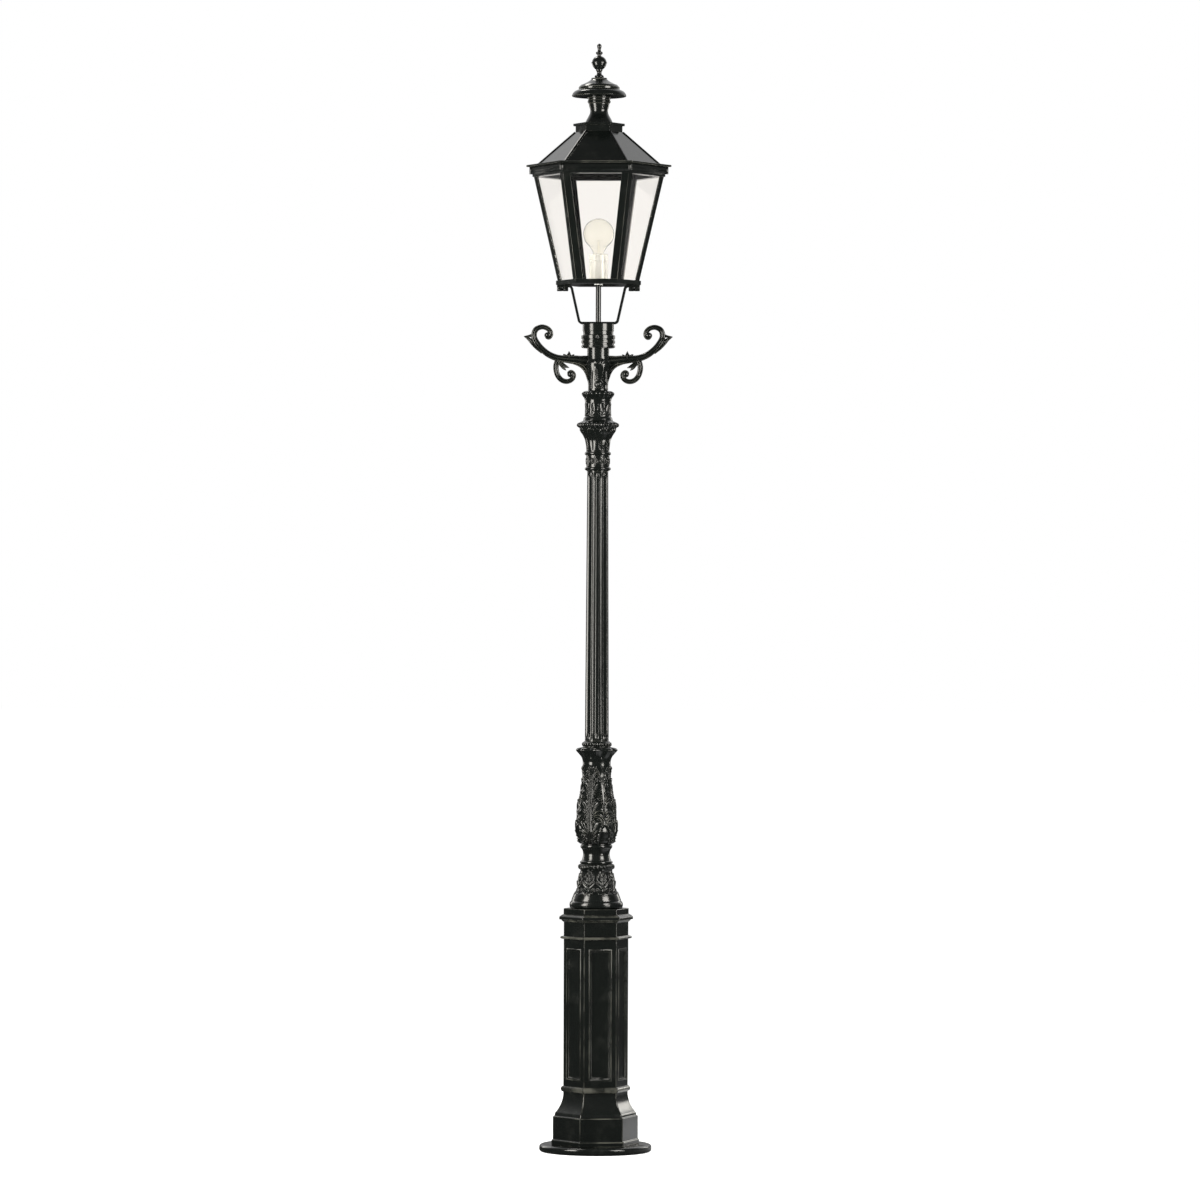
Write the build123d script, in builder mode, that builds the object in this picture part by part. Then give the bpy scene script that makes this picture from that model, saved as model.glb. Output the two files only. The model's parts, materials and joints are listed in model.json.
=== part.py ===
"""Cast lamp post with a six-sided lantern: separate pieces in one frame.

Millimetres, +Z up. The origin is the centre of the base plate's underside.
The scroll arms lie along X, and the photographed side faces -Y.
"""
import math
import os

from build123d import *

# Fits
slip_clearance = 0.2
running_clearance = 0.05
moving_gap = 0.3

# Base plate
plate_radius = 146
plate_thickness = 19
plate_edge_radius = 7
cable_entry_radius = 35
anchor_circle = 250
anchor_count = 3
anchor_hole_radius = 9
anchor_start_angle = -21

# Pedestal: heights above the base plate, half widths across flats
pedestal_turn = 9
pedestal_wall = 9
foot_half_flats = 100.5
foot_height = 14
plinth_half_flats = 97.5
plinth_top = 73
cavetto_bottom_half_flats = 92.7
cavetto_bottom = 82
cavetto_top = 129
cavetto_hollow = (0.36, 0.43)
plinth_ease = 2.5
bead_half_flats = 80
bead_bottom = 137
bead_top = 153
body_half_flats = 74
astragal_half_flats = 82
astragal_depth = 9
frieze_height = 36
cornice_half_flats = 84.6
cornice_depth = 19
cap_step_height = 16
pedestal_height = 613
deck_thickness = 16
foot_flange_width = 22

# Panels on the pedestal's faces
panel_width = 61
panel_foot_margin = 15
panel_head_margin = 23
panel_border = 8
panel_step = 1.5
panel_depth = 3.5

# Screws that hold the pedestal on its plate
plate_screw_circle = 176
plate_screw_count = 3
plate_screw_start_angle = 9
plate_screw_radius = 5
plate_screw_head_radius = 9
plate_screw_head_height = 7.5
plate_screw_grip = 11

# Service door in the pedestal's rear face
door_width = 56
door_inset = 3
door_thickness = 7
door_gap = 1.5
door_hinge_end = 60
hinge_barrel_radius = 3.5
hinge_pin_radius = 1.8
hinge_lift = 4
hinge_knuckle = 14
hinge_leaf_reach = 11
hinge_leaf_thickness = 3
lock_edge = 20
lock_housing_radius = 7
lock_flange_radius = 9
lock_flange_thickness = 1.5
lock_core_radius = 4.5
lock_cam_lap = 5
lock_cam_width = 8
lock_cam_thickness = 3
lock_key_side = 5

# Fuse box
box_width = 60
box_height = 150
box_base_depth = 41
box_cover_depth = 13
box_wall = 2.5
box_front = -31
box_bottom = 330
rail_width = 24
rail_thickness = 5
rail_flange = 30
carrier_width = 30
carrier_depth = 14
carrier_height = 70
fuse_radius = 5
gland_radius = 9
gland_height = 14
cable_radius = 3.5

# Core tube that the castings stand around
tube_radius = 21.2
tube_wall = 3.2
tube_below_deck = 34
tube_nut_radius = 29
tube_nut_height = 14

# Castings on the tube: heights and top sizes
baluster_height = 434
shaft_length = 702
shaft_bottom_radius = 31
shaft_top_radius = 27.3
flute_count = 16
flute_circle_share = 1.07
flute_radius_share = 0.15
capital_height = 208
scallop_bottom = 114
scallop_height = 11
scallop_circle = 49
scallop_radius = 6.2
scallop_count = 24
hub_height = 112

# Curved outlines of the castings: radius and height above the casting's foot
foot_torus = [(66, 0), (69.6, 9), (66, 18)]
rope_ring = [(42, 101), (47.8, 108), (42, 115)]
fillet_ring = [(42, 115), (39, 116), (42.3, 117.5), (42.3, 121.5)]
waist_ring = [(38, 155), (41.2, 161), (38, 167)]
crown_shoulder = [(51.2, 411), (45, 416), (35.5, 420)]
bead_ring = [(35.5, 420), (38, 425.5), (35.5, 431)]
bead_ring_lip = 33
baluster_flare = [(64, 23), (59, 36), (54.7, 41), (50, 49), (48.8, 70), (44.5, 83), (42, 94)]
baluster_scotia = [(38.6, 125), (34.3, 141), (38, 155)]
baluster_bulb = [
    (40, 169), (46.7, 177), (52.7, 192), (54, 208), (51.2, 249), (47.3, 281), (40.3, 312), (36.8, 343),
    (36, 378),
]
baluster_crown = [(36, 378), (40, 392), (45, 400), (51.2, 411)]
hub_neck = [(26, 0), (26, 18), (29.4, 42), (33, 64)]
chimney_waist = [(36, 0), (33, 9), (27, 20), (23, 33), (25, 43), (27, 53)]
finial_foot = [(10, 0), (12, 4), (8, 8)]
finial_stalk = [(8, 8), (6, 12), (8.5, 19)]
ball_under = [(8.5, 22), (15.4, 28.5), (19, 38)]
ball_ridge = [(19, 38), (20.5, 38.5), (20.5, 40.5), (19, 41)]
ball_over = [(19, 41), (14, 52), (5, 57)]
bud_ring = [(5, 61), (9, 65), (5, 69)]
bud_tip = [(5, 69), (4.2, 74), (5.8, 82)]
chimney_ring = [(27, 53), (30, 57), (28, 61)]
chimney_lip = [(28, 61), (29, 63)]
cap_hollow_edge = [(52, 12), (68, 3)]
cap_step = [(62, 18), (53, 22), (53, 28)]
cap_brim = [(71, 5), (70, 8), (67.5, 13), (62, 18)]
cap_dome = [(47, 34), (41, 36), (35, 39), (26, 44), (20.4, 49)]
capital_foot_ring = [(30, 2), (34, 6), (30, 10)]
capital_neck_ring = [(30, 41), (34.2, 45.5), (30, 50)]
capital_flange = [(49, 114), (49, 125), (38, 131), (37.5, 138)]
capital_lip = [(38, 206), (34, 208)]
capital_bell = [(30.6, 54), (30.8, 66), (33, 80), (36, 88), (41, 96), (45, 104), (46.8, 112)]
capital_band = [(33, 140), (31.5, 156), (33, 172), (34.5, 187), (41.3, 200)]

# Leaves on the castings: relief, midrib, and one side's outline in shares of half width and height
leaf_relief = 2.5
leaf_seat = 3
leaf_rib_relief = 4
leaf_rib_width = 3
leaf_rib_share = 0.9
leaf_edge = [[(0.45, 0), (1, 0.28), (0.62, 0.56)], [(0.62, 0.56), (0.58, 0.8), (0, 1)]]
leaf_count = 8
bulb_leaf_half_width = 18.5
bulb_leaf_span = (176, 340)
bulb_leaf_angle = -102
foot_leaf_half_width = 17.5
foot_leaf_span = (26, 90)
foot_leaf_angle = -115
crown_notch_circle = 54
crown_notch_radius = 7
crown_notch_angle = -69.5

# Bracket hub and scroll arms
hub_shoulder = 18
spigot_radius = 28.5
spigot_length = 40
spigot_cap = 8
spigot_cable_hole = 8
arm_height = 79
arm_stub_reach = 40
arm_root_radius = 13
arm_web_drop = 40
arm_web_width = 14
arm_tenon_radius = 6
arm_tenon_length = 12
arm_bar_radius = 7.6
arm_slope = 4
arm_sweep_centre = (101.5, 67.5)
arm_sweep_radius = 63
upper_scroll_radius = 20.2
upper_curl_angle = 30
upper_eye_radius = 10.5
lower_bar_radius = 7
lower_scroll_centre = (83, -26)
lower_scroll_radius = 26
lower_start_angle = 75
lower_inner_radius = 17
lower_curl_angle = 30
lower_eye_radius = 9
thorn_thickness = 8
outer_thorn = [(158, 40), (194, 63), (160, 82)]
top_thorn = [(64, 4), (76, 25), (90, 4)]

# Post-top collar
collar_ring_radius = 43.8
collar_groove_radius = 41
collar_ring_ease = 1
collar_rings = ((0, 7), (11, 20), (22, 33))
collar_neck_radius = 39
collar_sleeve_bottom = 43
collar_sleeve_radius = 40.5
collar_height = 62
set_screw_radius = 4
set_screw_head_radius = 4.5
set_screw_head_height = 3
set_screw_count = 3
set_screw_height = 27.5

# Yoke, its bolts and the stem tube
lantern_turn = -3
yoke_width = 22
yoke_thickness = 6
yoke_bottom_half = 49
yoke_top_half = 70.5
yoke_foot_end = 107.5
yoke_bend = 9
yoke_rise = 102
yoke_bolt_radius = 4
yoke_bolt_flats = 13
yoke_bolt_head = 8
yoke_bolt_bite = 5
yoke_bolt_first = 86
yoke_bolt_second = 100.5
washer_radius = 7
washer_thickness = 2
stem_radius = 7
stem_wall = 2
stem_seat = 15
stem_nut_flats = 22
stem_nut_height = 6
stem_end = 6

# Lantern frame: corner radii of its hexagons
ring_radius = 110.6
ring_opening = 62
ring_height = 11
ring_rebate_radius = 99
ring_rebate = 5
floor_thickness = 2
floor_edge_gap = 0.5
post_bottom_radius = 106.7
post_top_radius = 169.3
post_height = 270
post_flange = 18
post_thickness = 3
pane_thickness = 3
pane_edge_cover = 12
frame_lip_radius = 173
frame_lip_height = 7
frame_radius = 178
frame_height = 26
frame_opening = 150
frame_stud_radius = 5
frame_stud_inset = 2
frame_stud_gap = 1

# Lampholder and lamp
holder_radius = 24
holder_height = 66
holder_socket_radius = 14
holder_socket_depth = 34
holder_groove = 1
holder_joint_down = 18
cap_radius = 13.2
cap_height = 28
cap_tip_radius = 4.5
cap_tip_height = 4
bulb_radius = 40
bulb_neck_radius = 15
bulb_neck_height = 8
bulb_neck_angle = 35
bulb_height = 95
bulb_wall = 1
filament_stem_radius = 5
filament_stem_height = 38
filament_ring_radius = 9
filament_wire = 0.8

# Roof
rim_radius = 189
rim_thickness = 5
hood_bottom_radius = 160
hood_top_radius = 62
hood_height = 85
hood_wall = 2.5
hip_width = 7
hip_thickness = 2
crown_radius = 61
crown_collar_height = 16
crown_plate_radius = 67
crown_plate_thickness = 6
chimney_height = 67
chimney_bore = 18
vent_hole_radius = 4
vent_hole_circle = 22
vent_hole_count = 6
vent_cap_height = 52
vent_cap_hub = 31
finial_height = 90
rod_in_finial = 14
rod_radius = 4
rod_nut_flats = 13
rod_nut_height = 6.5

# Roof hinge behind the rim
roof_hinge_offset = 5.5
roof_barrel_radius = 5
roof_pin_radius = 2.5
roof_knuckle = 15
roof_outer_knuckle = 12
roof_knuckle_gap = 0.5
roof_leaf_width = 40
roof_leaf_reach = 18
roof_leaf_thickness = 3
roof_bracket_drop = 15

# Heights that follow from the sizes above
plate_top = plate_thickness
pedestal_top = plate_top + pedestal_height
deck_bottom = pedestal_top - deck_thickness
cornice_top = pedestal_height - cap_step_height
cornice_bottom = cornice_top - cornice_depth
astragal_top = cornice_bottom - frieze_height
astragal_bottom = astragal_top - astragal_depth
panel_height = astragal_bottom - panel_head_margin - bead_top - panel_foot_margin
panel_centre = bead_top + panel_foot_margin + panel_height / 2
door_height = panel_height - 2 * door_inset
door_hinge_spacing = door_height - 2 * door_hinge_end
lock_row = door_height / 2 - lock_edge
lock_cam_length = lock_edge + door_gap + lock_cam_lap
baluster_top = pedestal_top + baluster_height
shaft_top = baluster_top + shaft_length
capital_top = shaft_top + capital_height
hub_top = capital_top + hub_height
spigot_top = hub_top + spigot_length
collar_top = hub_top + collar_height
yoke_base = collar_top
ring_bottom = yoke_base + yoke_rise
ring_top = ring_bottom + ring_height
floor_bottom = ring_top - ring_rebate
floor_top = floor_bottom + floor_thickness
holder_bottom = floor_top + stem_nut_height
holder_top = holder_bottom + holder_height
socket_floor = holder_top - holder_socket_depth
cap_bottom = socket_floor + cap_tip_height
cap_top = cap_bottom + cap_height
frame_bottom = ring_top + post_height
frame_top = frame_bottom + frame_height
rim_top = frame_top + rim_thickness
hood_top = rim_top + hood_height
crown_collar_top = hood_top + crown_collar_height
crown_top = crown_collar_top + crown_plate_thickness
chimney_top = crown_top + chimney_height
vent_cap_top = chimney_top + vent_cap_height
finial_top = vent_cap_top + finial_height

across_flats = math.cos(math.radians(30))
casting_bore = tube_radius + slip_clearance
inner_half_flats = body_half_flats - pedestal_wall

os.makedirs("parts", exist_ok=True)


def finish(builder, name):
    """Label a finished piece and write it."""
    builder.part.label = name
    export_step(builder.part, f"parts/{name}.step")


def turned_plane(angle, height=0):
    """Horizontal plane at a height, turned about Z."""
    direction = (math.cos(math.radians(angle)), math.sin(math.radians(angle)), 0)
    return Plane(origin=(0, 0, height), x_dir=direction, z_dir=(0, 0, 1))


def upright_plane(angle, depth=0):
    """Upright plane through the axis: local x along the angle, local y up."""
    turn = math.radians(angle)
    normal = (math.sin(turn), -math.cos(turn), 0)
    origin = (normal[0] * depth, normal[1] * depth, 0)
    return Plane(origin=origin, x_dir=(math.cos(turn), math.sin(turn), 0), z_dir=normal)


def face_plane(angle, distance, height):
    """Upright plane facing outwards at a distance from the axis: local y up."""
    turn = math.radians(angle)
    normal = (math.cos(turn), math.sin(turn), 0)
    origin = (normal[0] * distance, normal[1] * distance, height)
    return Plane(origin=origin, x_dir=(-normal[1], normal[0], 0), z_dir=normal)


def hexagon(corner_radius, turn):
    """Hexagon with one corner along the turn angle, in the current sketch."""
    RegularPolygon(corner_radius, 6, rotation=turn)


def hex_nut(flats):
    """Hexagon given by its width across flats, in the current sketch."""
    RegularPolygon(flats / 2, 6, major_radius=False, rotation=30)


# Base plate: round, rounded edges, cable entry, anchor holes and counterbored screw holes
with BuildPart() as base_plate:
    with BuildSketch(Plane.XY):
        Circle(plate_radius)
        Circle(cable_entry_radius, mode=Mode.SUBTRACT)
        with PolarLocations(anchor_circle / 2, anchor_count, start_angle=anchor_start_angle):
            Circle(anchor_hole_radius, mode=Mode.SUBTRACT)
        with PolarLocations(plate_screw_circle / 2, plate_screw_count, start_angle=plate_screw_start_angle):
            Circle(plate_screw_radius + slip_clearance, mode=Mode.SUBTRACT)
    extrude(amount=plate_thickness)
    with BuildSketch(Plane.XY):
        with PolarLocations(plate_screw_circle / 2, plate_screw_count, start_angle=plate_screw_start_angle):
            Circle(plate_screw_head_radius + slip_clearance)
    extrude(amount=plate_thickness - plate_screw_grip, mode=Mode.SUBTRACT)
    rim_edges = base_plate.edges().filter_by(GeomType.CIRCLE).filter_by(lambda e: e.radius > plate_radius - 1)
    fillet(rim_edges, plate_edge_radius)
finish(base_plate, "base_plate")

with BuildPart() as pedestal_screws:
    head_top = plate_thickness - plate_screw_grip
    with BuildSketch(Plane.XY.offset(head_top - plate_screw_head_height)):
        with PolarLocations(plate_screw_circle / 2, plate_screw_count, start_angle=plate_screw_start_angle):
            RegularPolygon(plate_screw_head_radius, 6)
    extrude(amount=plate_screw_head_height)
    with BuildSketch(Plane.XY.offset(head_top)):
        with PolarLocations(plate_screw_circle / 2, plate_screw_count, start_angle=plate_screw_start_angle):
            Circle(plate_screw_radius)
    extrude(amount=plate_screw_grip + foot_height - slip_clearance)
finish(pedestal_screws, "pedestal_screws")

# Pedestal: one moulded section swept round a hexagon, a deck on top and panels in its faces
front_angle = pedestal_turn - 90
rear_angle = pedestal_turn + 90


# A panel's moulded recess: inset from the border's outside and depth of each step
panel_steps = ((0, panel_step), (panel_border, panel_depth))

with BuildPart() as pedestal:
    corner_radius = body_half_flats / across_flats
    front_middle = turned_plane(front_angle).from_local_coords((body_half_flats, 0, 0))
    path_points = [front_middle]
    for side in range(6):
        corner_angle = front_angle + 30 + 60 * side
        path_points.append(turned_plane(corner_angle).from_local_coords((corner_radius, 0, 0)))
    path_points.append(front_middle)
    with BuildLine() as pedestal_path:
        Polyline(*path_points)
    flange_inner = foot_half_flats - pedestal_wall - foot_flange_width
    plinth_inner = plinth_half_flats - pedestal_wall
    astragal_nose = (astragal_top - astragal_bottom) / 4
    cornice_nose = (cornice_top - cornice_bottom) / 3
    cavetto_middle = (
        body_half_flats + (cavetto_bottom_half_flats - body_half_flats) * cavetto_hollow[0],
        cavetto_bottom + (cavetto_top - cavetto_bottom) * cavetto_hollow[1],
    )
    with BuildSketch(upright_plane(front_angle)):
        with BuildLine(Plane(origin=(0, plate_top, 0))):
            Polyline(
                (body_half_flats, pedestal_height),
                (inner_half_flats, pedestal_height),
                (inner_half_flats, cavetto_top),
                (plinth_inner, cavetto_bottom),
                (plinth_inner, foot_height),
                (flange_inner, foot_height),
                (flange_inner, 0),
                (foot_half_flats, 0),
                (foot_half_flats, foot_height - plinth_ease),
                (plinth_half_flats, foot_height),
                (plinth_half_flats, plinth_top),
                (cavetto_bottom_half_flats + plinth_ease, plinth_top + plinth_ease),
                (cavetto_bottom_half_flats, cavetto_bottom),
            )
            ThreePointArc(
                (cavetto_bottom_half_flats, cavetto_bottom), cavetto_middle, (body_half_flats, cavetto_top)
            )
            Line((body_half_flats, cavetto_top), (body_half_flats, bead_bottom))
            ThreePointArc(
                (body_half_flats, bead_bottom),
                (bead_half_flats, (bead_bottom + bead_top) / 2),
                (body_half_flats, bead_top),
            )
            Polyline(
                (body_half_flats, bead_top),
                (body_half_flats, astragal_bottom),
                (astragal_half_flats, astragal_bottom + astragal_nose),
                (astragal_half_flats, astragal_top - astragal_nose),
                (body_half_flats, astragal_top),
                (body_half_flats, cornice_bottom),
                (cornice_half_flats, cornice_bottom + cornice_nose),
                (cornice_half_flats, cornice_top - cornice_nose),
                (body_half_flats, cornice_top),
                (body_half_flats, pedestal_height),
            )
        make_face()
    sweep(path=pedestal_path.wires()[0], transition=Transition.RIGHT)
    with BuildSketch(Plane.XY.offset(deck_bottom)):
        hexagon(inner_half_flats / across_flats, pedestal_turn)
        Circle(casting_bore, mode=Mode.SUBTRACT)
    extrude(amount=deck_thickness)
    with BuildSketch(Plane.XY.offset(plate_top)):
        with PolarLocations(plate_screw_circle / 2, plate_screw_count, start_angle=plate_screw_start_angle):
            Circle(plate_screw_radius + slip_clearance)
    extrude(amount=foot_height, mode=Mode.SUBTRACT)
    for side in range(6):
        side_plane = face_plane(front_angle + 60 * side, body_half_flats, plate_top + panel_centre)
        if side == 3:
            with BuildSketch(side_plane):
                Rectangle(door_width + 2 * door_gap, door_height + 2 * door_gap)
            extrude(amount=-2 * pedestal_wall, mode=Mode.SUBTRACT)
        else:
            for inset, depth in panel_steps:
                with BuildSketch(side_plane):
                    Rectangle(panel_width - 2 * inset, panel_height - 2 * inset)
                extrude(amount=-depth, mode=Mode.SUBTRACT)
finish(pedestal, "pedestal")

# Service door: a panel like the others, with hinge knuckles on its left edge seen from behind
rear_plane = face_plane(rear_angle, body_half_flats, plate_top + panel_centre)
hinge_x = -door_width / 2 - door_gap / 2
hinge_rows = (-door_hinge_spacing / 2, door_hinge_spacing / 2)
lock_place = (0, lock_row)


def hinge_plane(up):
    """Horizontal plane across the door's hinge axis: local x away from the door, local y outwards."""
    origin = rear_plane.from_local_coords((hinge_x, up, hinge_lift))
    return Plane(origin=origin, x_dir=-rear_plane.x_dir, z_dir=(0, 0, 1))


with BuildPart() as service_door:
    with BuildSketch(rear_plane):
        Rectangle(door_width, door_height)
    extrude(amount=-door_thickness)
    with BuildSketch(rear_plane):
        Rectangle(door_width - 2 * panel_border, door_height - 2 * panel_border)
    extrude(amount=-panel_depth, mode=Mode.SUBTRACT)
    with BuildSketch(rear_plane):
        with Locations(lock_place):
            Circle(lock_housing_radius + slip_clearance)
    extrude(amount=-door_thickness, mode=Mode.SUBTRACT)
    for row in hinge_rows:
        with BuildSketch(hinge_plane(row - hinge_knuckle / 2)):
            with Locations((0, hinge_leaf_thickness / 2 - hinge_lift)):
                Rectangle(hinge_leaf_reach, hinge_leaf_thickness, align=(Align.MAX, Align.CENTER))
            Circle(hinge_barrel_radius)
            Circle(hinge_pin_radius + running_clearance, mode=Mode.SUBTRACT)
        extrude(amount=hinge_knuckle)
finish(service_door, "service_door")

with BuildPart() as door_hinge_leaves:
    for row in hinge_rows:
        for end in (row - 1.5 * hinge_knuckle - moving_gap, row + hinge_knuckle / 2 + moving_gap):
            with BuildSketch(hinge_plane(end)):
                with Locations((0, hinge_leaf_thickness / 2 - hinge_lift)):
                    Rectangle(hinge_leaf_reach, hinge_leaf_thickness, align=(Align.MIN, Align.CENTER))
                Circle(hinge_barrel_radius)
                Circle(hinge_pin_radius + running_clearance, mode=Mode.SUBTRACT)
            extrude(amount=hinge_knuckle)
finish(door_hinge_leaves, "door_hinge_leaves")

with BuildPart() as door_hinge_pins:
    pin_half = 1.5 * hinge_knuckle + moving_gap
    for row in hinge_rows:
        with BuildSketch(hinge_plane(row - pin_half)):
            Circle(hinge_pin_radius)
        extrude(amount=2 * pin_half)
        with BuildSketch(hinge_plane(row + pin_half)):
            Circle(hinge_barrel_radius)
        extrude(amount=hinge_pin_radius)
finish(door_hinge_pins, "door_hinge_pins")

# Quarter-turn lock: a flanged housing in the door and a key core, whose cam turns up behind the lintel
cam_front = pedestal_wall + moving_gap
cam_span = lock_cam_length - lock_cam_width / 2
with BuildPart() as lock_housing:
    with BuildSketch(rear_plane.offset(-panel_depth)):
        with Locations(lock_place):
            Circle(lock_flange_radius)
            Circle(lock_core_radius + running_clearance, mode=Mode.SUBTRACT)
    extrude(amount=lock_flange_thickness)
    with BuildSketch(rear_plane.offset(-panel_depth)):
        with Locations(lock_place):
            Circle(lock_housing_radius)
            Circle(lock_core_radius + running_clearance, mode=Mode.SUBTRACT)
    extrude(amount=panel_depth - cam_front + moving_gap)
finish(lock_housing, "lock_housing")

with BuildPart() as lock_core:
    with BuildSketch(rear_plane.offset(-cam_front - lock_cam_thickness)):
        with Locations((cam_span / 2, lock_row)):
            SlotCenterToCenter(cam_span, lock_cam_width)
    extrude(amount=lock_cam_thickness)
    with BuildSketch(rear_plane.offset(-cam_front)):
        with Locations(lock_place):
            Circle(lock_core_radius)
    extrude(amount=cam_front - panel_depth + lock_flange_thickness)
    with BuildSketch(rear_plane.offset(lock_flange_thickness - panel_depth)):
        with Locations(lock_place):
            RegularPolygon(lock_key_side / 2, 3)
    extrude(amount=-lock_flange_thickness, mode=Mode.SUBTRACT)
finish(lock_core, "lock_core")

# Fuse box on a rail that hangs from the pedestal's deck
box_top = box_bottom + box_height
box_split = box_front + box_base_depth
inner_width = box_width - 2 * box_wall

with BuildPart() as fuse_box_rail:
    with BuildSketch(turned_plane(pedestal_turn, box_bottom)):
        with Locations((0, box_front - rail_thickness / 2)):
            Rectangle(rail_width, rail_thickness)
    extrude(amount=deck_bottom - box_bottom)
    with BuildSketch(turned_plane(pedestal_turn, deck_bottom)):
        with Locations((0, box_front - rail_flange / 2)):
            Rectangle(rail_width, rail_flange)
    extrude(amount=-rail_thickness)
finish(fuse_box_rail, "fuse_box_rail")

with BuildPart() as fuse_box_base:
    with BuildSketch(turned_plane(pedestal_turn, box_bottom)):
        with Locations((0, box_front + box_base_depth / 2)):
            Rectangle(box_width, box_base_depth)
    extrude(amount=box_height)
    with BuildSketch(turned_plane(pedestal_turn, box_bottom + box_wall)):
        with Locations((0, box_split)):
            Rectangle(inner_width, 2 * (box_base_depth - box_wall))
    extrude(amount=box_height - 2 * box_wall, mode=Mode.SUBTRACT)
    with BuildSketch(Plane.XY.offset(box_bottom)):
        Circle(cable_radius + slip_clearance)
    extrude(amount=box_height, mode=Mode.SUBTRACT)
finish(fuse_box_base, "fuse_box_base")

with BuildPart() as fuse_box_cover:
    with BuildSketch(turned_plane(pedestal_turn, box_bottom)):
        with Locations((0, box_split + box_cover_depth / 2)):
            Rectangle(box_width, box_cover_depth)
    extrude(amount=box_height)
    with BuildSketch(turned_plane(pedestal_turn, box_bottom + box_wall)):
        with Locations((0, box_split)):
            Rectangle(inner_width, 2 * (box_cover_depth - box_wall))
    extrude(amount=box_height - 2 * box_wall, mode=Mode.SUBTRACT)
finish(fuse_box_cover, "fuse_box_cover")

with BuildPart() as fuse_carrier:
    carrier_back = box_front + box_wall
    with BuildSketch(turned_plane(pedestal_turn, box_bottom + (box_height - carrier_height) / 2)):
        with Locations((0, carrier_back + carrier_depth / 2)):
            Rectangle(carrier_width, carrier_depth)
        with Locations((0, carrier_back + carrier_depth)):
            Circle(fuse_radius)
    extrude(amount=carrier_height)
finish(fuse_carrier, "fuse_carrier")

with BuildPart() as cable_glands:
    for seat, reach in ((box_top, gland_height), (box_bottom, -gland_height)):
        with BuildSketch(Plane.XY.offset(seat)):
            RegularPolygon(gland_radius, 6, rotation=pedestal_turn)
            Circle(cable_radius + slip_clearance, mode=Mode.SUBTRACT)
        extrude(amount=reach / 2)
        with BuildSketch(Plane.XY.offset(seat + reach / 2)):
            Circle(gland_radius * across_flats)
            Circle(cable_radius + slip_clearance, mode=Mode.SUBTRACT)
        extrude(amount=reach / 2)
finish(cable_glands, "cable_glands")

with BuildPart() as lamp_cable:
    with BuildSketch(Plane.XY.offset(box_top - box_wall)):
        Circle(cable_radius)
    extrude(amount=holder_bottom + stem_end - box_top + box_wall)
finish(lamp_cable, "lamp_cable")

# Core tube and its nut under the deck
with BuildPart() as core_tube:
    with BuildSketch(Plane.XY.offset(deck_bottom - tube_below_deck)):
        Circle(tube_radius)
        Circle(tube_radius - tube_wall, mode=Mode.SUBTRACT)
    extrude(amount=spigot_top - spigot_cap - deck_bottom + tube_below_deck)
finish(core_tube, "core_tube")

with BuildPart() as tube_nut:
    with BuildSketch(Plane.XY.offset(deck_bottom - tube_nut_height)):
        RegularPolygon(tube_nut_radius, 6, rotation=pedestal_turn)
        Circle(casting_bore, mode=Mode.SUBTRACT)
    extrude(amount=tube_nut_height)
finish(tube_nut, "tube_nut")

# Leaves: the casting's own curve moved outwards, cut to a leaf's outline


def casting_skin(curve, relief, foot_z):
    """Ring of material that follows a casting's curve, from inside it to the relief's height."""
    outside = [(radius + relief, up) for radius, up in curve]
    inside = [(radius - leaf_seat, up) for radius, up in curve]
    with BuildPart() as skin:
        with BuildSketch(Plane.XZ):
            with BuildLine(Plane(origin=(0, foot_z, 0))):
                Spline(*outside)
                Line(outside[-1], inside[-1])
                Spline(*inside)
                Line(inside[0], outside[0])
            make_face()
        revolve(axis=Axis.Z)
    return skin.part


def cast_leaf(curve, foot_z, span, half_width, angle):
    """One lobed leaf with its midrib, lying on a casting's curve."""
    low, high = span
    reach = 2 * max(radius for radius, up in curve)
    outline_plane = face_plane(angle, 0, foot_z)
    with BuildPart() as blade:
        add(casting_skin(curve, leaf_relief, foot_z))
        with BuildSketch(outline_plane):
            with BuildLine():
                for side in (-1, 1):
                    for arc in leaf_edge:
                        ThreePointArc(*[(side * x * half_width, low + y * (high - low)) for x, y in arc])
                Line((-leaf_edge[0][0][0] * half_width, low), (leaf_edge[0][0][0] * half_width, low))
            make_face()
        extrude(amount=reach, mode=Mode.INTERSECT)
    with BuildPart() as rib:
        add(casting_skin(curve, leaf_rib_relief, foot_z))
        with BuildSketch(outline_plane):
            with Locations((0, low)):
                Rectangle(leaf_rib_width, leaf_rib_share * (high - low), align=(Align.CENTER, Align.MIN))
        extrude(amount=reach, mode=Mode.INTERSECT)
    return blade.part + rib.part


bulb_leaf = cast_leaf(baluster_bulb, pedestal_top, bulb_leaf_span, bulb_leaf_half_width, bulb_leaf_angle)
foot_leaf = cast_leaf(baluster_flare, pedestal_top, foot_leaf_span, foot_leaf_half_width, foot_leaf_angle)

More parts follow.
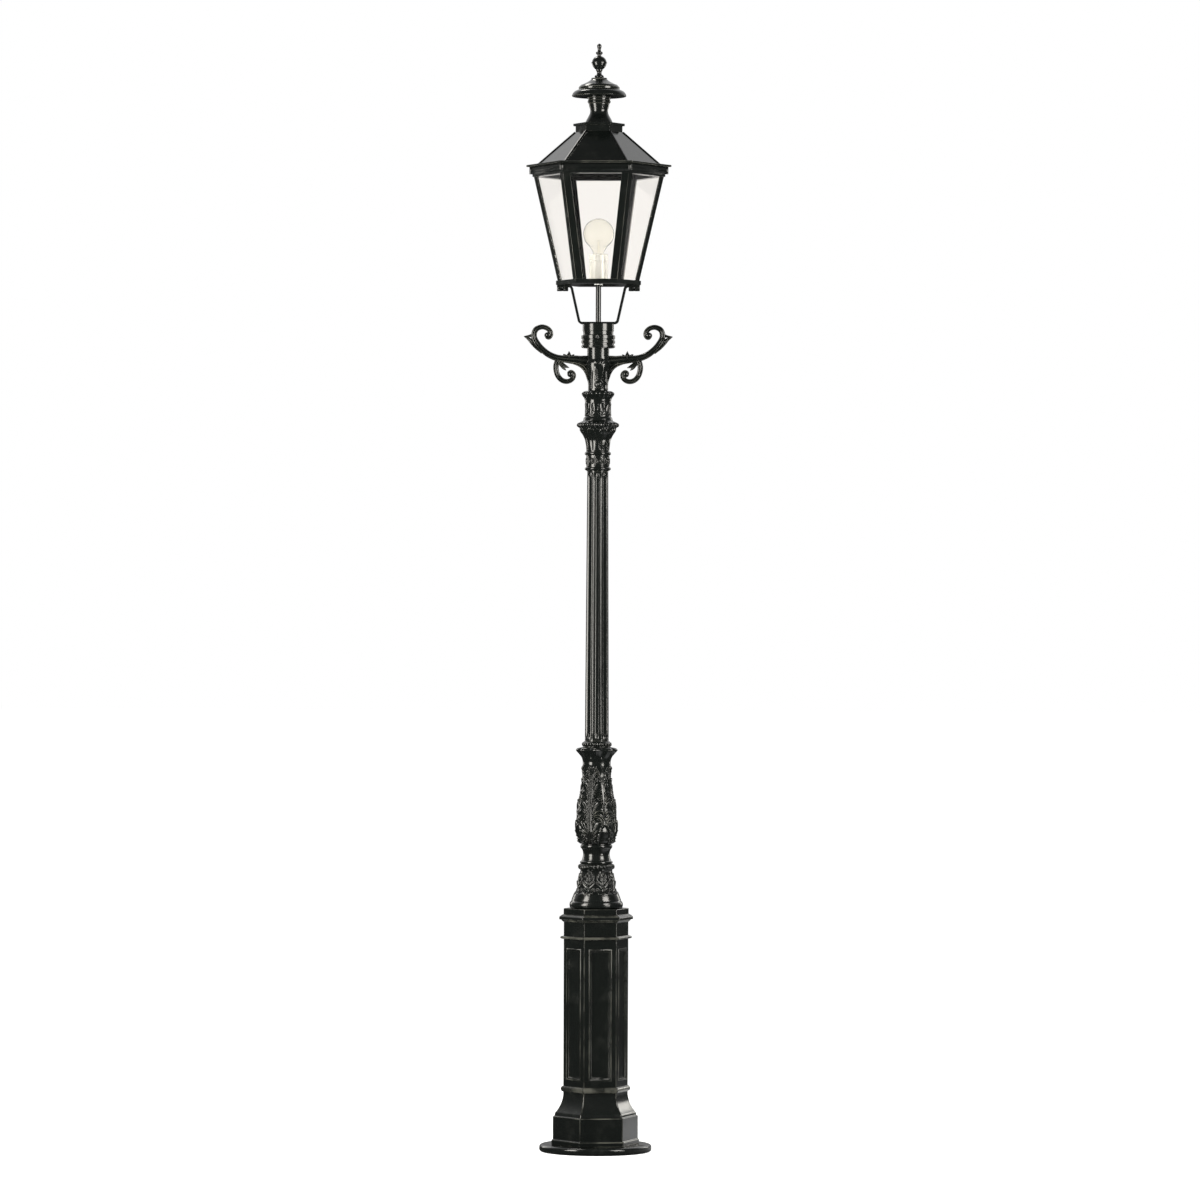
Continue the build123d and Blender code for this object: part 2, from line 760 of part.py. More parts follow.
# Baluster: leafy foot, rope ring, scotia, leafy bulb and lobed crown in one casting
with BuildPart() as baluster:
    with BuildSketch(Plane.XZ):
        with BuildLine(Plane(origin=(0, pedestal_top, 0))):
            lip = (bead_ring_lip, baluster_height)
            bore_top = (casting_bore, baluster_height)
            Polyline(bore_top, (casting_bore, 0), foot_torus[0])
            ThreePointArc(*foot_torus)
            Line(foot_torus[-1], baluster_flare[0])
            Spline(*baluster_flare)
            Line(baluster_flare[-1], rope_ring[0])
            ThreePointArc(*rope_ring)
            Polyline(*fillet_ring, baluster_scotia[0])
            Spline(*baluster_scotia)
            ThreePointArc(*waist_ring)
            Line(waist_ring[-1], baluster_bulb[0])
            Spline(*baluster_bulb)
            Spline(*baluster_crown)
            Polyline(*crown_shoulder)
            ThreePointArc(*bead_ring)
            Polyline(bead_ring[-1], lip, bore_top)
        make_face()
    revolve(axis=Axis.Z)
    notch_height = crown_shoulder[-1][1] - baluster_crown[0][1]
    with Locations((0, 0, pedestal_top + baluster_crown[0][1])):
        with PolarLocations(crown_notch_circle, leaf_count, crown_notch_angle):
            Cylinder(
                crown_notch_radius,
                notch_height,
                align=(Align.CENTER, Align.CENTER, Align.MIN),
                mode=Mode.SUBTRACT,
            )
    with PolarLocations(0, leaf_count):
        add(bulb_leaf)
        add(foot_leaf)
finish(baluster, "baluster")

# Fluted shaft: a fluted section lofted from its foot to its narrower top
with BuildPart() as fluted_shaft:
    for height, radius in ((baluster_top, shaft_bottom_radius), (shaft_top, shaft_top_radius)):
        with BuildSketch(Plane.XY.offset(height)):
            Circle(radius)
            with PolarLocations(radius * flute_circle_share, flute_count):
                Circle(radius * flute_radius_share, mode=Mode.SUBTRACT)
    loft(ruled=True)
    with BuildSketch(Plane.XY.offset(baluster_top)):
        Circle(casting_bore)
    extrude(amount=shaft_length, mode=Mode.SUBTRACT)
finish(fluted_shaft, "fluted_shaft")

# Capital: rings, bell, scalloped flange and leaf band in one casting
with BuildPart() as capital:
    with BuildSketch(Plane.XZ):
        with BuildLine(Plane(origin=(0, shaft_top, 0))):
            foot_radius = capital_foot_ring[0][0]
            bore_top = (casting_bore, capital_height)
            Polyline(bore_top, (casting_bore, 0), (foot_radius, 0), capital_foot_ring[0])
            ThreePointArc(*capital_foot_ring)
            Line(capital_foot_ring[-1], capital_neck_ring[0])
            ThreePointArc(*capital_neck_ring)
            Line(capital_neck_ring[-1], capital_bell[0])
            Spline(*capital_bell)
            Polyline(capital_bell[-1], *capital_flange, capital_band[0])
            Spline(*capital_band)
            Polyline(capital_band[-1], *capital_lip, bore_top)
        make_face()
    revolve(axis=Axis.Z)
    with BuildSketch(Plane.XY.offset(shaft_top + scallop_bottom)):
        with PolarLocations(scallop_circle, scallop_count):
            Circle(scallop_radius)
        Circle(scallop_circle)
        Circle(casting_bore, mode=Mode.SUBTRACT)
    extrude(amount=scallop_height)
finish(capital, "capital")

# Bracket hub: turned neck, two arm stubs on arched webs, and the spigot that carries the lantern
arm_level = capital_top + arm_height
with BuildPart() as bracket_hub:
    with BuildSketch(Plane.XZ):
        with BuildLine(Plane(origin=(0, capital_top, 0))):
            spigot_end = hub_height + spigot_length
            Polyline(
                (spigot_cable_hole, spigot_end),
                (spigot_cable_hole, spigot_end - spigot_cap),
                (casting_bore, spigot_end - spigot_cap),
                (casting_bore, 0),
                hub_neck[0],
            )
            Spline(*hub_neck)
            Polyline(
                hub_neck[-1],
                (spigot_radius, hub_neck[-1][1] + hub_shoulder),
                (spigot_radius, spigot_end),
                (spigot_cable_hole, spigot_end),
            )
        make_face()
    revolve(axis=Axis.Z)
    for side_angle in (0, 180):
        with BuildSketch(face_plane(side_angle, casting_bore, arm_level)):
            Circle(arm_root_radius)
        extrude(amount=arm_stub_reach - casting_bore)
        with BuildSketch(upright_plane(side_angle)):
            with BuildLine():
                web_foot = (hub_neck[-2][0], arm_level - arm_web_drop)
                web_under = (arm_stub_reach, arm_level - arm_root_radius)
                TangentArc(web_foot, web_under, tangent=(0, 1))
                Polyline(
                    web_under,
                    (arm_stub_reach, arm_level),
                    (casting_bore, arm_level),
                    (casting_bore, web_foot[1]),
                    web_foot,
                )
            make_face()
        extrude(amount=arm_web_width / 2, both=True)
        with BuildSketch(face_plane(side_angle, arm_stub_reach, arm_level)):
            Circle(arm_tenon_radius + slip_clearance)
        extrude(amount=-arm_tenon_length - slip_clearance, mode=Mode.SUBTRACT)
    with BuildSketch(Plane.XY.offset(capital_top)):
        Circle(casting_bore)
    extrude(amount=hub_height + spigot_length - spigot_cap, mode=Mode.SUBTRACT)
finish(bracket_hub, "bracket_hub")

# Scroll arms: a tapered root, a bar swept up into a scroll, a lower scroll and two thorns
for arm_name, side_angle in (("scroll_arm_right", 0), ("scroll_arm_left", 180)):
    arm_plane = upright_plane(side_angle)
    sweep_x, sweep_z = arm_sweep_centre
    slope = math.radians(arm_slope)
    bend_start = (sweep_x + arm_sweep_radius * math.sin(slope), sweep_z - arm_sweep_radius * math.cos(slope))
    curl_centre = (sweep_x + arm_sweep_radius - upper_scroll_radius, sweep_z)
    lower_x, lower_z = lower_scroll_centre
    inner_z = lower_z - lower_scroll_radius + lower_inner_radius
    arm_origin = arm_plane.from_local_coords((0, arm_level, 0))
    local_plane = Plane(origin=arm_origin, x_dir=arm_plane.x_dir, z_dir=arm_plane.z_dir)
    with BuildPart() as scroll_arm:
        with BuildSketch(face_plane(side_angle, arm_stub_reach, arm_level)):
            Circle(arm_tenon_radius)
        extrude(amount=-arm_tenon_length)
        with BuildLine(local_plane) as bar_path:
            CenterArc(arm_sweep_centre, arm_sweep_radius, arm_slope - 90, 90 - arm_slope)
            CenterArc(curl_centre, upper_scroll_radius, 0, 180 + upper_curl_angle)
        bar_start = Plane(bar_path.line ^ 0)
        with BuildSketch(bar_start):
            Circle(arm_bar_radius)
        sweep(path=bar_path.line)
        with BuildSketch(face_plane(side_angle, arm_stub_reach, arm_level)):
            Circle(arm_root_radius)
        with BuildSketch(bar_start):
            Circle(arm_bar_radius)
        loft()
        with BuildLine(local_plane) as lower_path:
            CenterArc(lower_scroll_centre, lower_scroll_radius, lower_start_angle, -90 - lower_start_angle)
            CenterArc((lower_x, inner_z), lower_inner_radius, -90, -90 - lower_curl_angle)
        with BuildSketch(Plane(lower_path.line ^ 0)):
            Circle(lower_bar_radius)
        sweep(path=lower_path.line)
        for eye_path, eye_radius in ((bar_path, upper_eye_radius), (lower_path, lower_eye_radius)):
            with Locations((eye_path.line ^ 1).position):
                Sphere(eye_radius)
        for outline in (outer_thorn, top_thorn):
            with BuildSketch(local_plane):
                with BuildLine():
                    Polyline(*outline, close=True)
                make_face()
            extrude(amount=thorn_thickness / 2, both=True)
    finish(scroll_arm, arm_name)

# Post-top collar: three rings and a sleeve, bored for the spigot and the stem
with BuildPart() as post_top_collar:
    with BuildSketch(Plane.XZ):
        with BuildLine(Plane(origin=(0, hub_top, 0))):
            Polyline(
                (stem_radius + slip_clearance, collar_height),
                (stem_radius + slip_clearance, collar_height - stem_seat),
                (stem_radius - stem_wall, collar_height - stem_seat),
                (stem_radius - stem_wall, spigot_length),
                (spigot_radius + running_clearance, spigot_length),
                (spigot_radius + running_clearance, 0),
                (collar_groove_radius, 0),
            )
            ring_foot = (collar_groove_radius, 0)
            for ring_bottom_up, ring_top_up in collar_rings:
                Polyline(
                    ring_foot,
                    (collar_groove_radius, ring_bottom_up + collar_ring_ease),
                    (collar_ring_radius - collar_ring_ease, ring_bottom_up + collar_ring_ease),
                    (collar_ring_radius, ring_bottom_up + 2 * collar_ring_ease),
                    (collar_ring_radius, ring_top_up - collar_ring_ease),
                    (collar_ring_radius - collar_ring_ease, ring_top_up),
                    (collar_groove_radius, ring_top_up),
                )
                ring_foot = (collar_groove_radius, ring_top_up)
            Polyline(
                ring_foot,
                (collar_neck_radius, ring_foot[1] + collar_ring_ease),
                (collar_neck_radius, collar_sleeve_bottom),
                (collar_sleeve_radius, collar_sleeve_bottom + collar_ring_ease),
                (collar_sleeve_radius, collar_height),
                (stem_radius + slip_clearance, collar_height),
            )
        make_face()
    revolve(axis=Axis.Z)
    screw_angles = [lantern_turn - 90 + index * 360 / set_screw_count for index in range(set_screw_count)]
    screw_planes = [face_plane(angle, collar_ring_radius, hub_top + set_screw_height) for angle in screw_angles]
    with Locations(*screw_planes):
        Cylinder(set_screw_radius + slip_clearance, 2 * (collar_ring_radius - stem_radius), mode=Mode.SUBTRACT)
finish(post_top_collar, "post_top_collar")

with BuildPart() as collar_set_screws:
    for screw_plane in screw_planes:
        with BuildSketch(screw_plane):
            Circle(set_screw_radius)
        extrude(amount=spigot_radius + moving_gap - collar_ring_radius)
        with BuildSketch(screw_plane):
            Circle(set_screw_head_radius)
        extrude(amount=set_screw_head_height)
finish(collar_set_screws, "collar_set_screws")

# Yoke: one flat bar bent into a stirrup, bolted up into the lower ring
yoke_plane = upright_plane(lantern_turn)
yoke_low = yoke_base + yoke_thickness / 2
yoke_high = ring_bottom - yoke_thickness / 2
yoke_bolt_places = (-yoke_bolt_second, -yoke_bolt_first, yoke_bolt_first, yoke_bolt_second)
with BuildPart() as yoke:
    with BuildLine(yoke_plane) as yoke_path:
        FilletPolyline(
            (-yoke_foot_end, yoke_high),
            (-yoke_top_half, yoke_high),
            (-yoke_bottom_half, yoke_low),
            (yoke_bottom_half, yoke_low),
            (yoke_top_half, yoke_high),
            (yoke_foot_end, yoke_high),
            radius=yoke_bend,
        )
    with BuildSketch(face_plane(lantern_turn, -yoke_foot_end, yoke_high)):
        Rectangle(yoke_width, yoke_thickness)
    sweep(path=yoke_path.line)
    with BuildSketch(Plane.XY.offset(yoke_base)):
        Circle(stem_radius + slip_clearance)
    extrude(amount=yoke_thickness, mode=Mode.SUBTRACT)
    with BuildSketch(turned_plane(lantern_turn, ring_bottom)):
        for place in yoke_bolt_places:
            with Locations((place, 0)):
                Circle(yoke_bolt_radius + slip_clearance)
    extrude(amount=-yoke_thickness, mode=Mode.SUBTRACT)
finish(yoke, "yoke")

with BuildPart() as yoke_bolts:
    foot_bottom = ring_bottom - yoke_thickness
    with BuildSketch(turned_plane(lantern_turn, foot_bottom)):
        for place in yoke_bolt_places:
            with Locations((place, 0)):
                Circle(washer_radius)
    extrude(amount=-washer_thickness)
    with BuildSketch(turned_plane(lantern_turn, foot_bottom - washer_thickness)):
        for place in yoke_bolt_places:
            with Locations((place, 0)):
                hex_nut(yoke_bolt_flats)
    extrude(amount=-yoke_bolt_head)
    with BuildSketch(turned_plane(lantern_turn, foot_bottom)):
        for place in yoke_bolt_places:
            with Locations((place, 0)):
                Circle(yoke_bolt_radius)
    extrude(amount=yoke_thickness + yoke_bolt_bite - slip_clearance)
finish(yoke_bolts, "yoke_bolts")

with BuildPart() as stem_tube:
    with BuildSketch(Plane.XY.offset(collar_top - stem_seat)):
        Circle(stem_radius)
        Circle(stem_radius - stem_wall, mode=Mode.SUBTRACT)
    extrude(amount=holder_bottom + stem_end - collar_top + stem_seat)
finish(stem_tube, "stem_tube")

with BuildPart() as stem_nuts:
    for seat, reach in ((floor_bottom, -stem_nut_height), (floor_top, stem_nut_height)):
        with BuildSketch(turned_plane(lantern_turn, seat)):
            hex_nut(stem_nut_flats)
            Circle(stem_radius + slip_clearance, mode=Mode.SUBTRACT)
        extrude(amount=reach)
finish(stem_nuts, "stem_nuts")

# Lower ring with a rebate for the floor plate
with BuildPart() as lower_ring:
    with BuildSketch(Plane.XY.offset(ring_bottom)):
        hexagon(ring_radius, lantern_turn)
        RegularPolygon(ring_opening, 6, rotation=lantern_turn, mode=Mode.SUBTRACT)
    extrude(amount=ring_height)
    with BuildSketch(Plane.XY.offset(floor_bottom)):
        hexagon(ring_rebate_radius, lantern_turn)
    extrude(amount=ring_rebate, mode=Mode.SUBTRACT)
    with BuildSketch(turned_plane(lantern_turn, ring_bottom)):
        for place in yoke_bolt_places:
            with Locations((place, 0)):
                Circle(yoke_bolt_radius + slip_clearance)
    extrude(amount=yoke_bolt_bite, mode=Mode.SUBTRACT)
finish(lower_ring, "lower_ring")

with BuildPart() as floor_plate:
    with BuildSketch(Plane.XY.offset(floor_bottom)):
        hexagon(ring_rebate_radius - floor_edge_gap, lantern_turn)
        Circle(stem_radius + slip_clearance, mode=Mode.SUBTRACT)
    extrude(amount=floor_thickness)
finish(floor_plate, "floor_plate")


def angle_section(corner, flange, thickness):
    """Points of a 120 degree angle strip whose outer corner lies on local x."""
    half = math.sin(math.radians(60))
    end = (corner - flange / 2, flange * half)
    inner_end = (end[0] - thickness * half, end[1] - thickness / 2)
    inner_corner = (corner - thickness / half, 0)
    mirrored = [(inner_end[0], -inner_end[1]), (end[0], -end[1])]
    return [(corner, 0), end, inner_end, inner_corner, *mirrored]


# Corner posts and panes lean outwards from the lower ring to the upper frame
lantern_levels = ((ring_top, post_bottom_radius), (frame_bottom, post_top_radius))
for index in range(6):
    with BuildPart() as corner_post:
        for level, radius in lantern_levels:
            with BuildSketch(turned_plane(lantern_turn + 60 * index, level)):
                Polygon(*angle_section(radius, post_flange, post_thickness), align=None)
        loft(ruled=True)
    finish(corner_post, f"corner_post_{index + 1}")
    with BuildPart() as glass_pane:
        for level, radius in lantern_levels:
            pane_half_width = radius / 2 - post_flange + pane_edge_cover
            pane_outside = radius * across_flats - post_thickness
            with BuildSketch(turned_plane(lantern_turn + 60 * index + 30, level)):
                with Locations((pane_outside - pane_thickness / 2, 0)):
                    Rectangle(pane_thickness, 2 * pane_half_width)
        loft(ruled=True)
    finish(glass_pane, f"glass_pane_{index + 1}")

with BuildPart() as upper_frame:
    for level, height, radius in (
        (frame_bottom, frame_lip_height, frame_lip_radius),
        (frame_bottom + frame_lip_height, frame_height - frame_lip_height, frame_radius),
    ):
        with BuildSketch(Plane.XY.offset(level)):
            hexagon(radius, lantern_turn)
            RegularPolygon(frame_opening, 6, rotation=lantern_turn, mode=Mode.SUBTRACT)
        extrude(amount=height)
    with Locations((0, 0, frame_bottom + frame_lip_height)):
        with PolarLocations(frame_radius - frame_stud_inset, 6, start_angle=lantern_turn):
            Cylinder(
                frame_stud_radius,
                frame_height - frame_lip_height - frame_stud_gap,
                align=(Align.CENTER, Align.CENTER, Align.MIN),
            )
finish(upper_frame, "upper_frame")

# Lampholder and lamp
with BuildPart() as lampholder:
    with BuildSketch(Plane.XZ):
        with BuildLine(Plane(origin=(0, holder_bottom, 0))):
            joint_level = holder_height - holder_joint_down
            Polyline(
                (0, stem_end),
                (stem_radius + slip_clearance, stem_end),
                (stem_radius + slip_clearance, 0),
                (holder_radius - holder_groove, 0),
                (holder_radius, 2 * holder_groove),
                (holder_radius, joint_level - holder_groove),
                (holder_radius - holder_groove, joint_level),
                (holder_radius, joint_level + holder_groove),
                (holder_radius, holder_height - 2 * holder_groove),
                (holder_radius - 2 * holder_groove, holder_height),
                (holder_socket_radius, holder_height),
                (holder_socket_radius, holder_height - holder_socket_depth),
                (0, holder_height - holder_socket_depth),
                close=True,
            )
        make_face()
    revolve(axis=Axis.Z)
finish(lampholder, "lampholder")

with BuildPart() as lamp_cap:
    with BuildSketch(Plane.XY.offset(socket_floor)):
        Circle(cap_tip_radius)
    extrude(amount=cap_tip_height)
    with BuildSketch(Plane.XY.offset(cap_bottom)):
        Circle(cap_radius)
    extrude(amount=cap_height)
finish(lamp_cap, "lamp_cap")

globe_level = bulb_height - bulb_radius
globe_start = math.radians(bulb_neck_angle)
with BuildPart() as bulb_glass:
    for inset, bulb_mode in ((0, Mode.ADD), (bulb_wall, Mode.SUBTRACT)):
        globe = bulb_radius - inset
        neck_end = (globe * math.sin(globe_start), globe_level - globe * math.cos(globe_start))
        neck_start = (cap_radius - inset, 0)
        with BuildSketch(Plane.XZ):
            with BuildLine(Plane(origin=(0, cap_top, 0))):
                globe_top = (0, globe_level + globe)
                neck_top = (bulb_neck_radius - inset, bulb_neck_height)
                Polyline(globe_top, (0, 0), neck_start, neck_top, neck_end)
                ThreePointArc(neck_end, (globe, globe_level), globe_top)
            make_face()
        revolve(axis=Axis.Z, mode=bulb_mode)
finish(bulb_glass, "bulb_glass")

with BuildPart() as filament_mount:
    with BuildSketch(Plane.XZ):
        with BuildLine(Plane(origin=(0, cap_top, 0))):
            Polyline(
                (0, 0),
                (filament_stem_radius, 0),
                (filament_stem_radius / 2, filament_stem_height - filament_wire),
                (filament_stem_radius / 2, filament_stem_height),
                (0, filament_stem_height),
                close=True,
            )
        make_face()
    revolve(axis=Axis.Z)
    with BuildSketch(Plane.XY.offset(cap_top + filament_stem_height - filament_wire)):
        Circle(filament_ring_radius)
        Circle(filament_ring_radius - filament_wire, mode=Mode.SUBTRACT)
        Rectangle(2 * filament_ring_radius - filament_wire, filament_wire)
        Rectangle(filament_wire, 2 * filament_ring_radius - filament_wire)
    extrude(amount=filament_wire)
finish(filament_mount, "filament_mount")

# Roof: rim, six-sided hood, hip strips, crown plate, chimney, vent cap and finial
with BuildPart() as roof_rim:
    with BuildSketch(Plane.XY.offset(frame_top)):
        hexagon(rim_radius, lantern_turn)
        RegularPolygon(frame_opening, 6, rotation=lantern_turn, mode=Mode.SUBTRACT)
    extrude(amount=rim_thickness)
finish(roof_rim, "roof_rim")

hood_levels = ((rim_top, hood_bottom_radius), (hood_top, hood_top_radius))
with BuildPart() as roof_hood:
    for inset, hood_mode in ((0, Mode.ADD), (2 * hood_wall, Mode.SUBTRACT)):
        for level, radius in hood_levels:
            with BuildSketch(Plane.XY.offset(level)):
                hexagon(radius - inset, lantern_turn)
        loft(ruled=True, mode=hood_mode)
finish(roof_hood, "roof_hood")

with BuildPart() as hip_strips:
    for index in range(6):
        for level, radius in hood_levels:
            with BuildSketch(turned_plane(lantern_turn + 60 * index, level)):
                hip_corner = radius + hip_thickness / across_flats
                Polygon(*angle_section(hip_corner, hip_width, hip_thickness), align=None)
        loft(ruled=True)
finish(hip_strips, "hip_strips")

with BuildPart() as crown_plate:
    with BuildSketch(Plane.XY.offset(hood_top)):
        hexagon(crown_radius, lantern_turn)
        RegularPolygon(hood_top_radius - 2 * hood_wall, 6, rotation=lantern_turn, mode=Mode.SUBTRACT)
    extrude(amount=crown_collar_height)
    with BuildSketch(Plane.XY.offset(crown_collar_top)):
        hexagon(crown_plate_radius, lantern_turn)
        Circle(rod_radius + slip_clearance, mode=Mode.SUBTRACT)
        with PolarLocations(vent_hole_circle / 2, vent_hole_count):
            Circle(vent_hole_radius, mode=Mode.SUBTRACT)
    extrude(amount=crown_plate_thickness)
finish(crown_plate, "crown_plate")

with BuildPart() as chimney:
    with BuildSketch(Plane.XZ):
        with BuildLine(Plane(origin=(0, crown_top, 0))):
            Polyline((chimney_bore, chimney_height), (chimney_bore, 0), chimney_waist[0])
            Spline(*chimney_waist)
            ThreePointArc(*chimney_ring)
            bore_top = (chimney_bore, chimney_height)
            Polyline(*chimney_lip, (chimney_lip[-1][0], chimney_height), bore_top)
        make_face()
    revolve(axis=Axis.Z)
finish(chimney, "chimney")

with BuildPart() as vent_cap:
    with BuildSketch(Plane.XZ):
        with BuildLine(Plane(origin=(0, chimney_top, 0))):
            Polyline(
                (rod_radius + slip_clearance, vent_cap_height),
                (rod_radius + slip_clearance, 0),
                (vent_cap_hub, 0),
                (vent_cap_hub, cap_hollow_edge[0][1]),
                *cap_hollow_edge,
                cap_brim[0],
            )
            Spline(*cap_brim)
            Polyline(*cap_step, cap_dome[0])
            Spline(*cap_dome)
            Polyline(
                cap_dome[-1],
                (cap_dome[-1][0], vent_cap_height),
                (rod_radius + slip_clearance, vent_cap_height),
            )
        make_face()
    revolve(axis=Axis.Z)
finish(vent_cap, "vent_cap")

with BuildPart() as finial:
    with BuildSketch(Plane.XZ):
        with BuildLine(Plane(origin=(0, vent_cap_top, 0))):
            Polyline((0, finial_height), (0, 0), finial_foot[0])
            ThreePointArc(*finial_foot)
            Spline(*finial_stalk)
            Line(finial_stalk[-1], ball_under[0])
            ThreePointArc(*ball_under)
            Polyline(*ball_ridge)
            ThreePointArc(*ball_over)
            Line(ball_over[-1], bud_ring[0])
            ThreePointArc(*bud_ring)
            Spline(*bud_tip, (0, finial_height))
        make_face()
    revolve(axis=Axis.Z)
    with BuildSketch(Plane.XY.offset(vent_cap_top)):
        Circle(rod_radius + slip_clearance)
    extrude(amount=rod_in_finial, mode=Mode.SUBTRACT)
finish(finial, "finial")

with BuildPart() as tie_rod:
    rod_foot = crown_collar_top - 2 * rod_nut_height
    with BuildSketch(Plane.XY.offset(rod_foot)):
        Circle(rod_radius)
    extrude(amount=vent_cap_top + rod_in_finial - rod_foot)
finish(tie_rod, "tie_rod")

with BuildPart() as rod_nut:
    with BuildSketch(Plane.XY.offset(crown_collar_top)):
        hex_nut(rod_nut_flats)
        Circle(rod_radius + slip_clearance, mode=Mode.SUBTRACT)
    extrude(amount=-rod_nut_height)
finish(rod_nut, "rod_nut")

# Roof hinge behind the rim: bracket and pin on the frame, leaf on the roof
rim_back = rim_radius * across_flats
frame_back = frame_radius * across_flats
roof_axis_back = rim_back + roof_hinge_offset
roof_axis_level = rim_top + roof_leaf_thickness - roof_barrel_radius
bracket_top = frame_top - moving_gap
outer_knuckle_start = roof_knuckle / 2 + roof_knuckle_gap
outer_knuckle_end = outer_knuckle_start + roof_outer_knuckle

with BuildPart() as roof_hinge_bracket:
    for knuckle_start in (-outer_knuckle_end, outer_knuckle_start):
        with BuildSketch(face_plane(lantern_turn, knuckle_start, 0)):
            with Locations(((frame_back + roof_axis_back) / 2, bracket_top - roof_leaf_thickness / 2)):
                Rectangle(roof_axis_back - frame_back, roof_leaf_thickness)
            with Locations((roof_axis_back, roof_axis_level)):
                Circle(roof_barrel_radius)
                Circle(roof_pin_radius + running_clearance, mode=Mode.SUBTRACT)
        extrude(amount=roof_outer_knuckle)
    with BuildSketch(face_plane(lantern_turn, -outer_knuckle_end, 0)):
        with Locations((frame_back + roof_leaf_thickness / 2, bracket_top - roof_bracket_drop / 2)):
            Rectangle(roof_leaf_thickness, roof_bracket_drop)
    extrude(amount=2 * outer_knuckle_end)
finish(roof_hinge_bracket, "roof_hinge_bracket")

with BuildPart() as roof_hinge_pin:
    with BuildSketch(face_plane(lantern_turn, -outer_knuckle_end, 0)):
        with Locations((roof_axis_back, roof_axis_level)):
            Circle(roof_pin_radius)
    extrude(amount=2 * outer_knuckle_end)
finish(roof_hinge_pin, "roof_hinge_pin")

with BuildPart() as roof_hinge_leaf:
    leaf_middle = rim_top + roof_leaf_thickness / 2
    with BuildSketch(face_plane(lantern_turn, -roof_knuckle / 2, 0)):
        with Locations(((rim_back - roof_leaf_reach + roof_axis_back) / 2, leaf_middle)):
            Rectangle(roof_leaf_reach + roof_hinge_offset, roof_leaf_thickness)
        with Locations((roof_axis_back, roof_axis_level)):
            Circle(roof_barrel_radius)
            Circle(roof_pin_radius + running_clearance, mode=Mode.SUBTRACT)
    extrude(amount=roof_knuckle)
    with BuildSketch(face_plane(lantern_turn, -roof_leaf_width / 2, 0)):
        with Locations((rim_back - roof_leaf_reach / 2, leaf_middle)):
            Rectangle(roof_leaf_reach, roof_leaf_thickness)
    extrude(amount=roof_leaf_width)
finish(roof_hinge_leaf, "roof_hinge_leaf")
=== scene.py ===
"""Cast lamp post with a hexagonal lantern: the detailed meshes, finishes, floor, lights and camera."""
import bmesh
import bpy
import json
import math
import numpy as np
from mathutils import Matrix, Vector


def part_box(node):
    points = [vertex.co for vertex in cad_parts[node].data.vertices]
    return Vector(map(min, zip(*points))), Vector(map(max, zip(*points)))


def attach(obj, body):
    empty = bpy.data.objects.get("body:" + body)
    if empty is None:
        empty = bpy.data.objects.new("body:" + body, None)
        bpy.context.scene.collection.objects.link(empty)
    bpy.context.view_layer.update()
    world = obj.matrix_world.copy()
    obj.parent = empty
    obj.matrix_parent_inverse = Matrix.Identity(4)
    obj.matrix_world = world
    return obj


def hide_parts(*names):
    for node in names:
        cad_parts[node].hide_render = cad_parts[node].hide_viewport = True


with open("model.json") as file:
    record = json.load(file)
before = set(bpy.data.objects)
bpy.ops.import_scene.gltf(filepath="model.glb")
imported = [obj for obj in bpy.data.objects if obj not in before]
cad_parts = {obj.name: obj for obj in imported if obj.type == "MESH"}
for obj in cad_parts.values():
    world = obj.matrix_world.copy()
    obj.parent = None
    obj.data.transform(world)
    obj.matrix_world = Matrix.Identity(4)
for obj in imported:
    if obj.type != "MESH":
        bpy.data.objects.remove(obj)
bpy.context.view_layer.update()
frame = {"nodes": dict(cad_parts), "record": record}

# Sizes below are in millimetres, and meshes are written in metres
mm = 0.001

# Points nearer than this are welded: in copies of nodes, in turned pieces and in the pedestal
copy_weld = 0.002 * mm
turned_weld = 0.005 * mm
skin_weld = 0.02 * mm

# Places that the lantern and the pedestal share with the frame
pedestal_turn = math.radians(9)
lantern_turn = math.radians(-3)
hood_foot_radius = 160.0
hood_top_radius = 62.0

# Photograph's view: level, along +Y, with a slight roll
view_distance = 15.1
view_span = 3.12
view_height = 1.433
view_offset = 0.007
view_roll = math.radians(0.21)


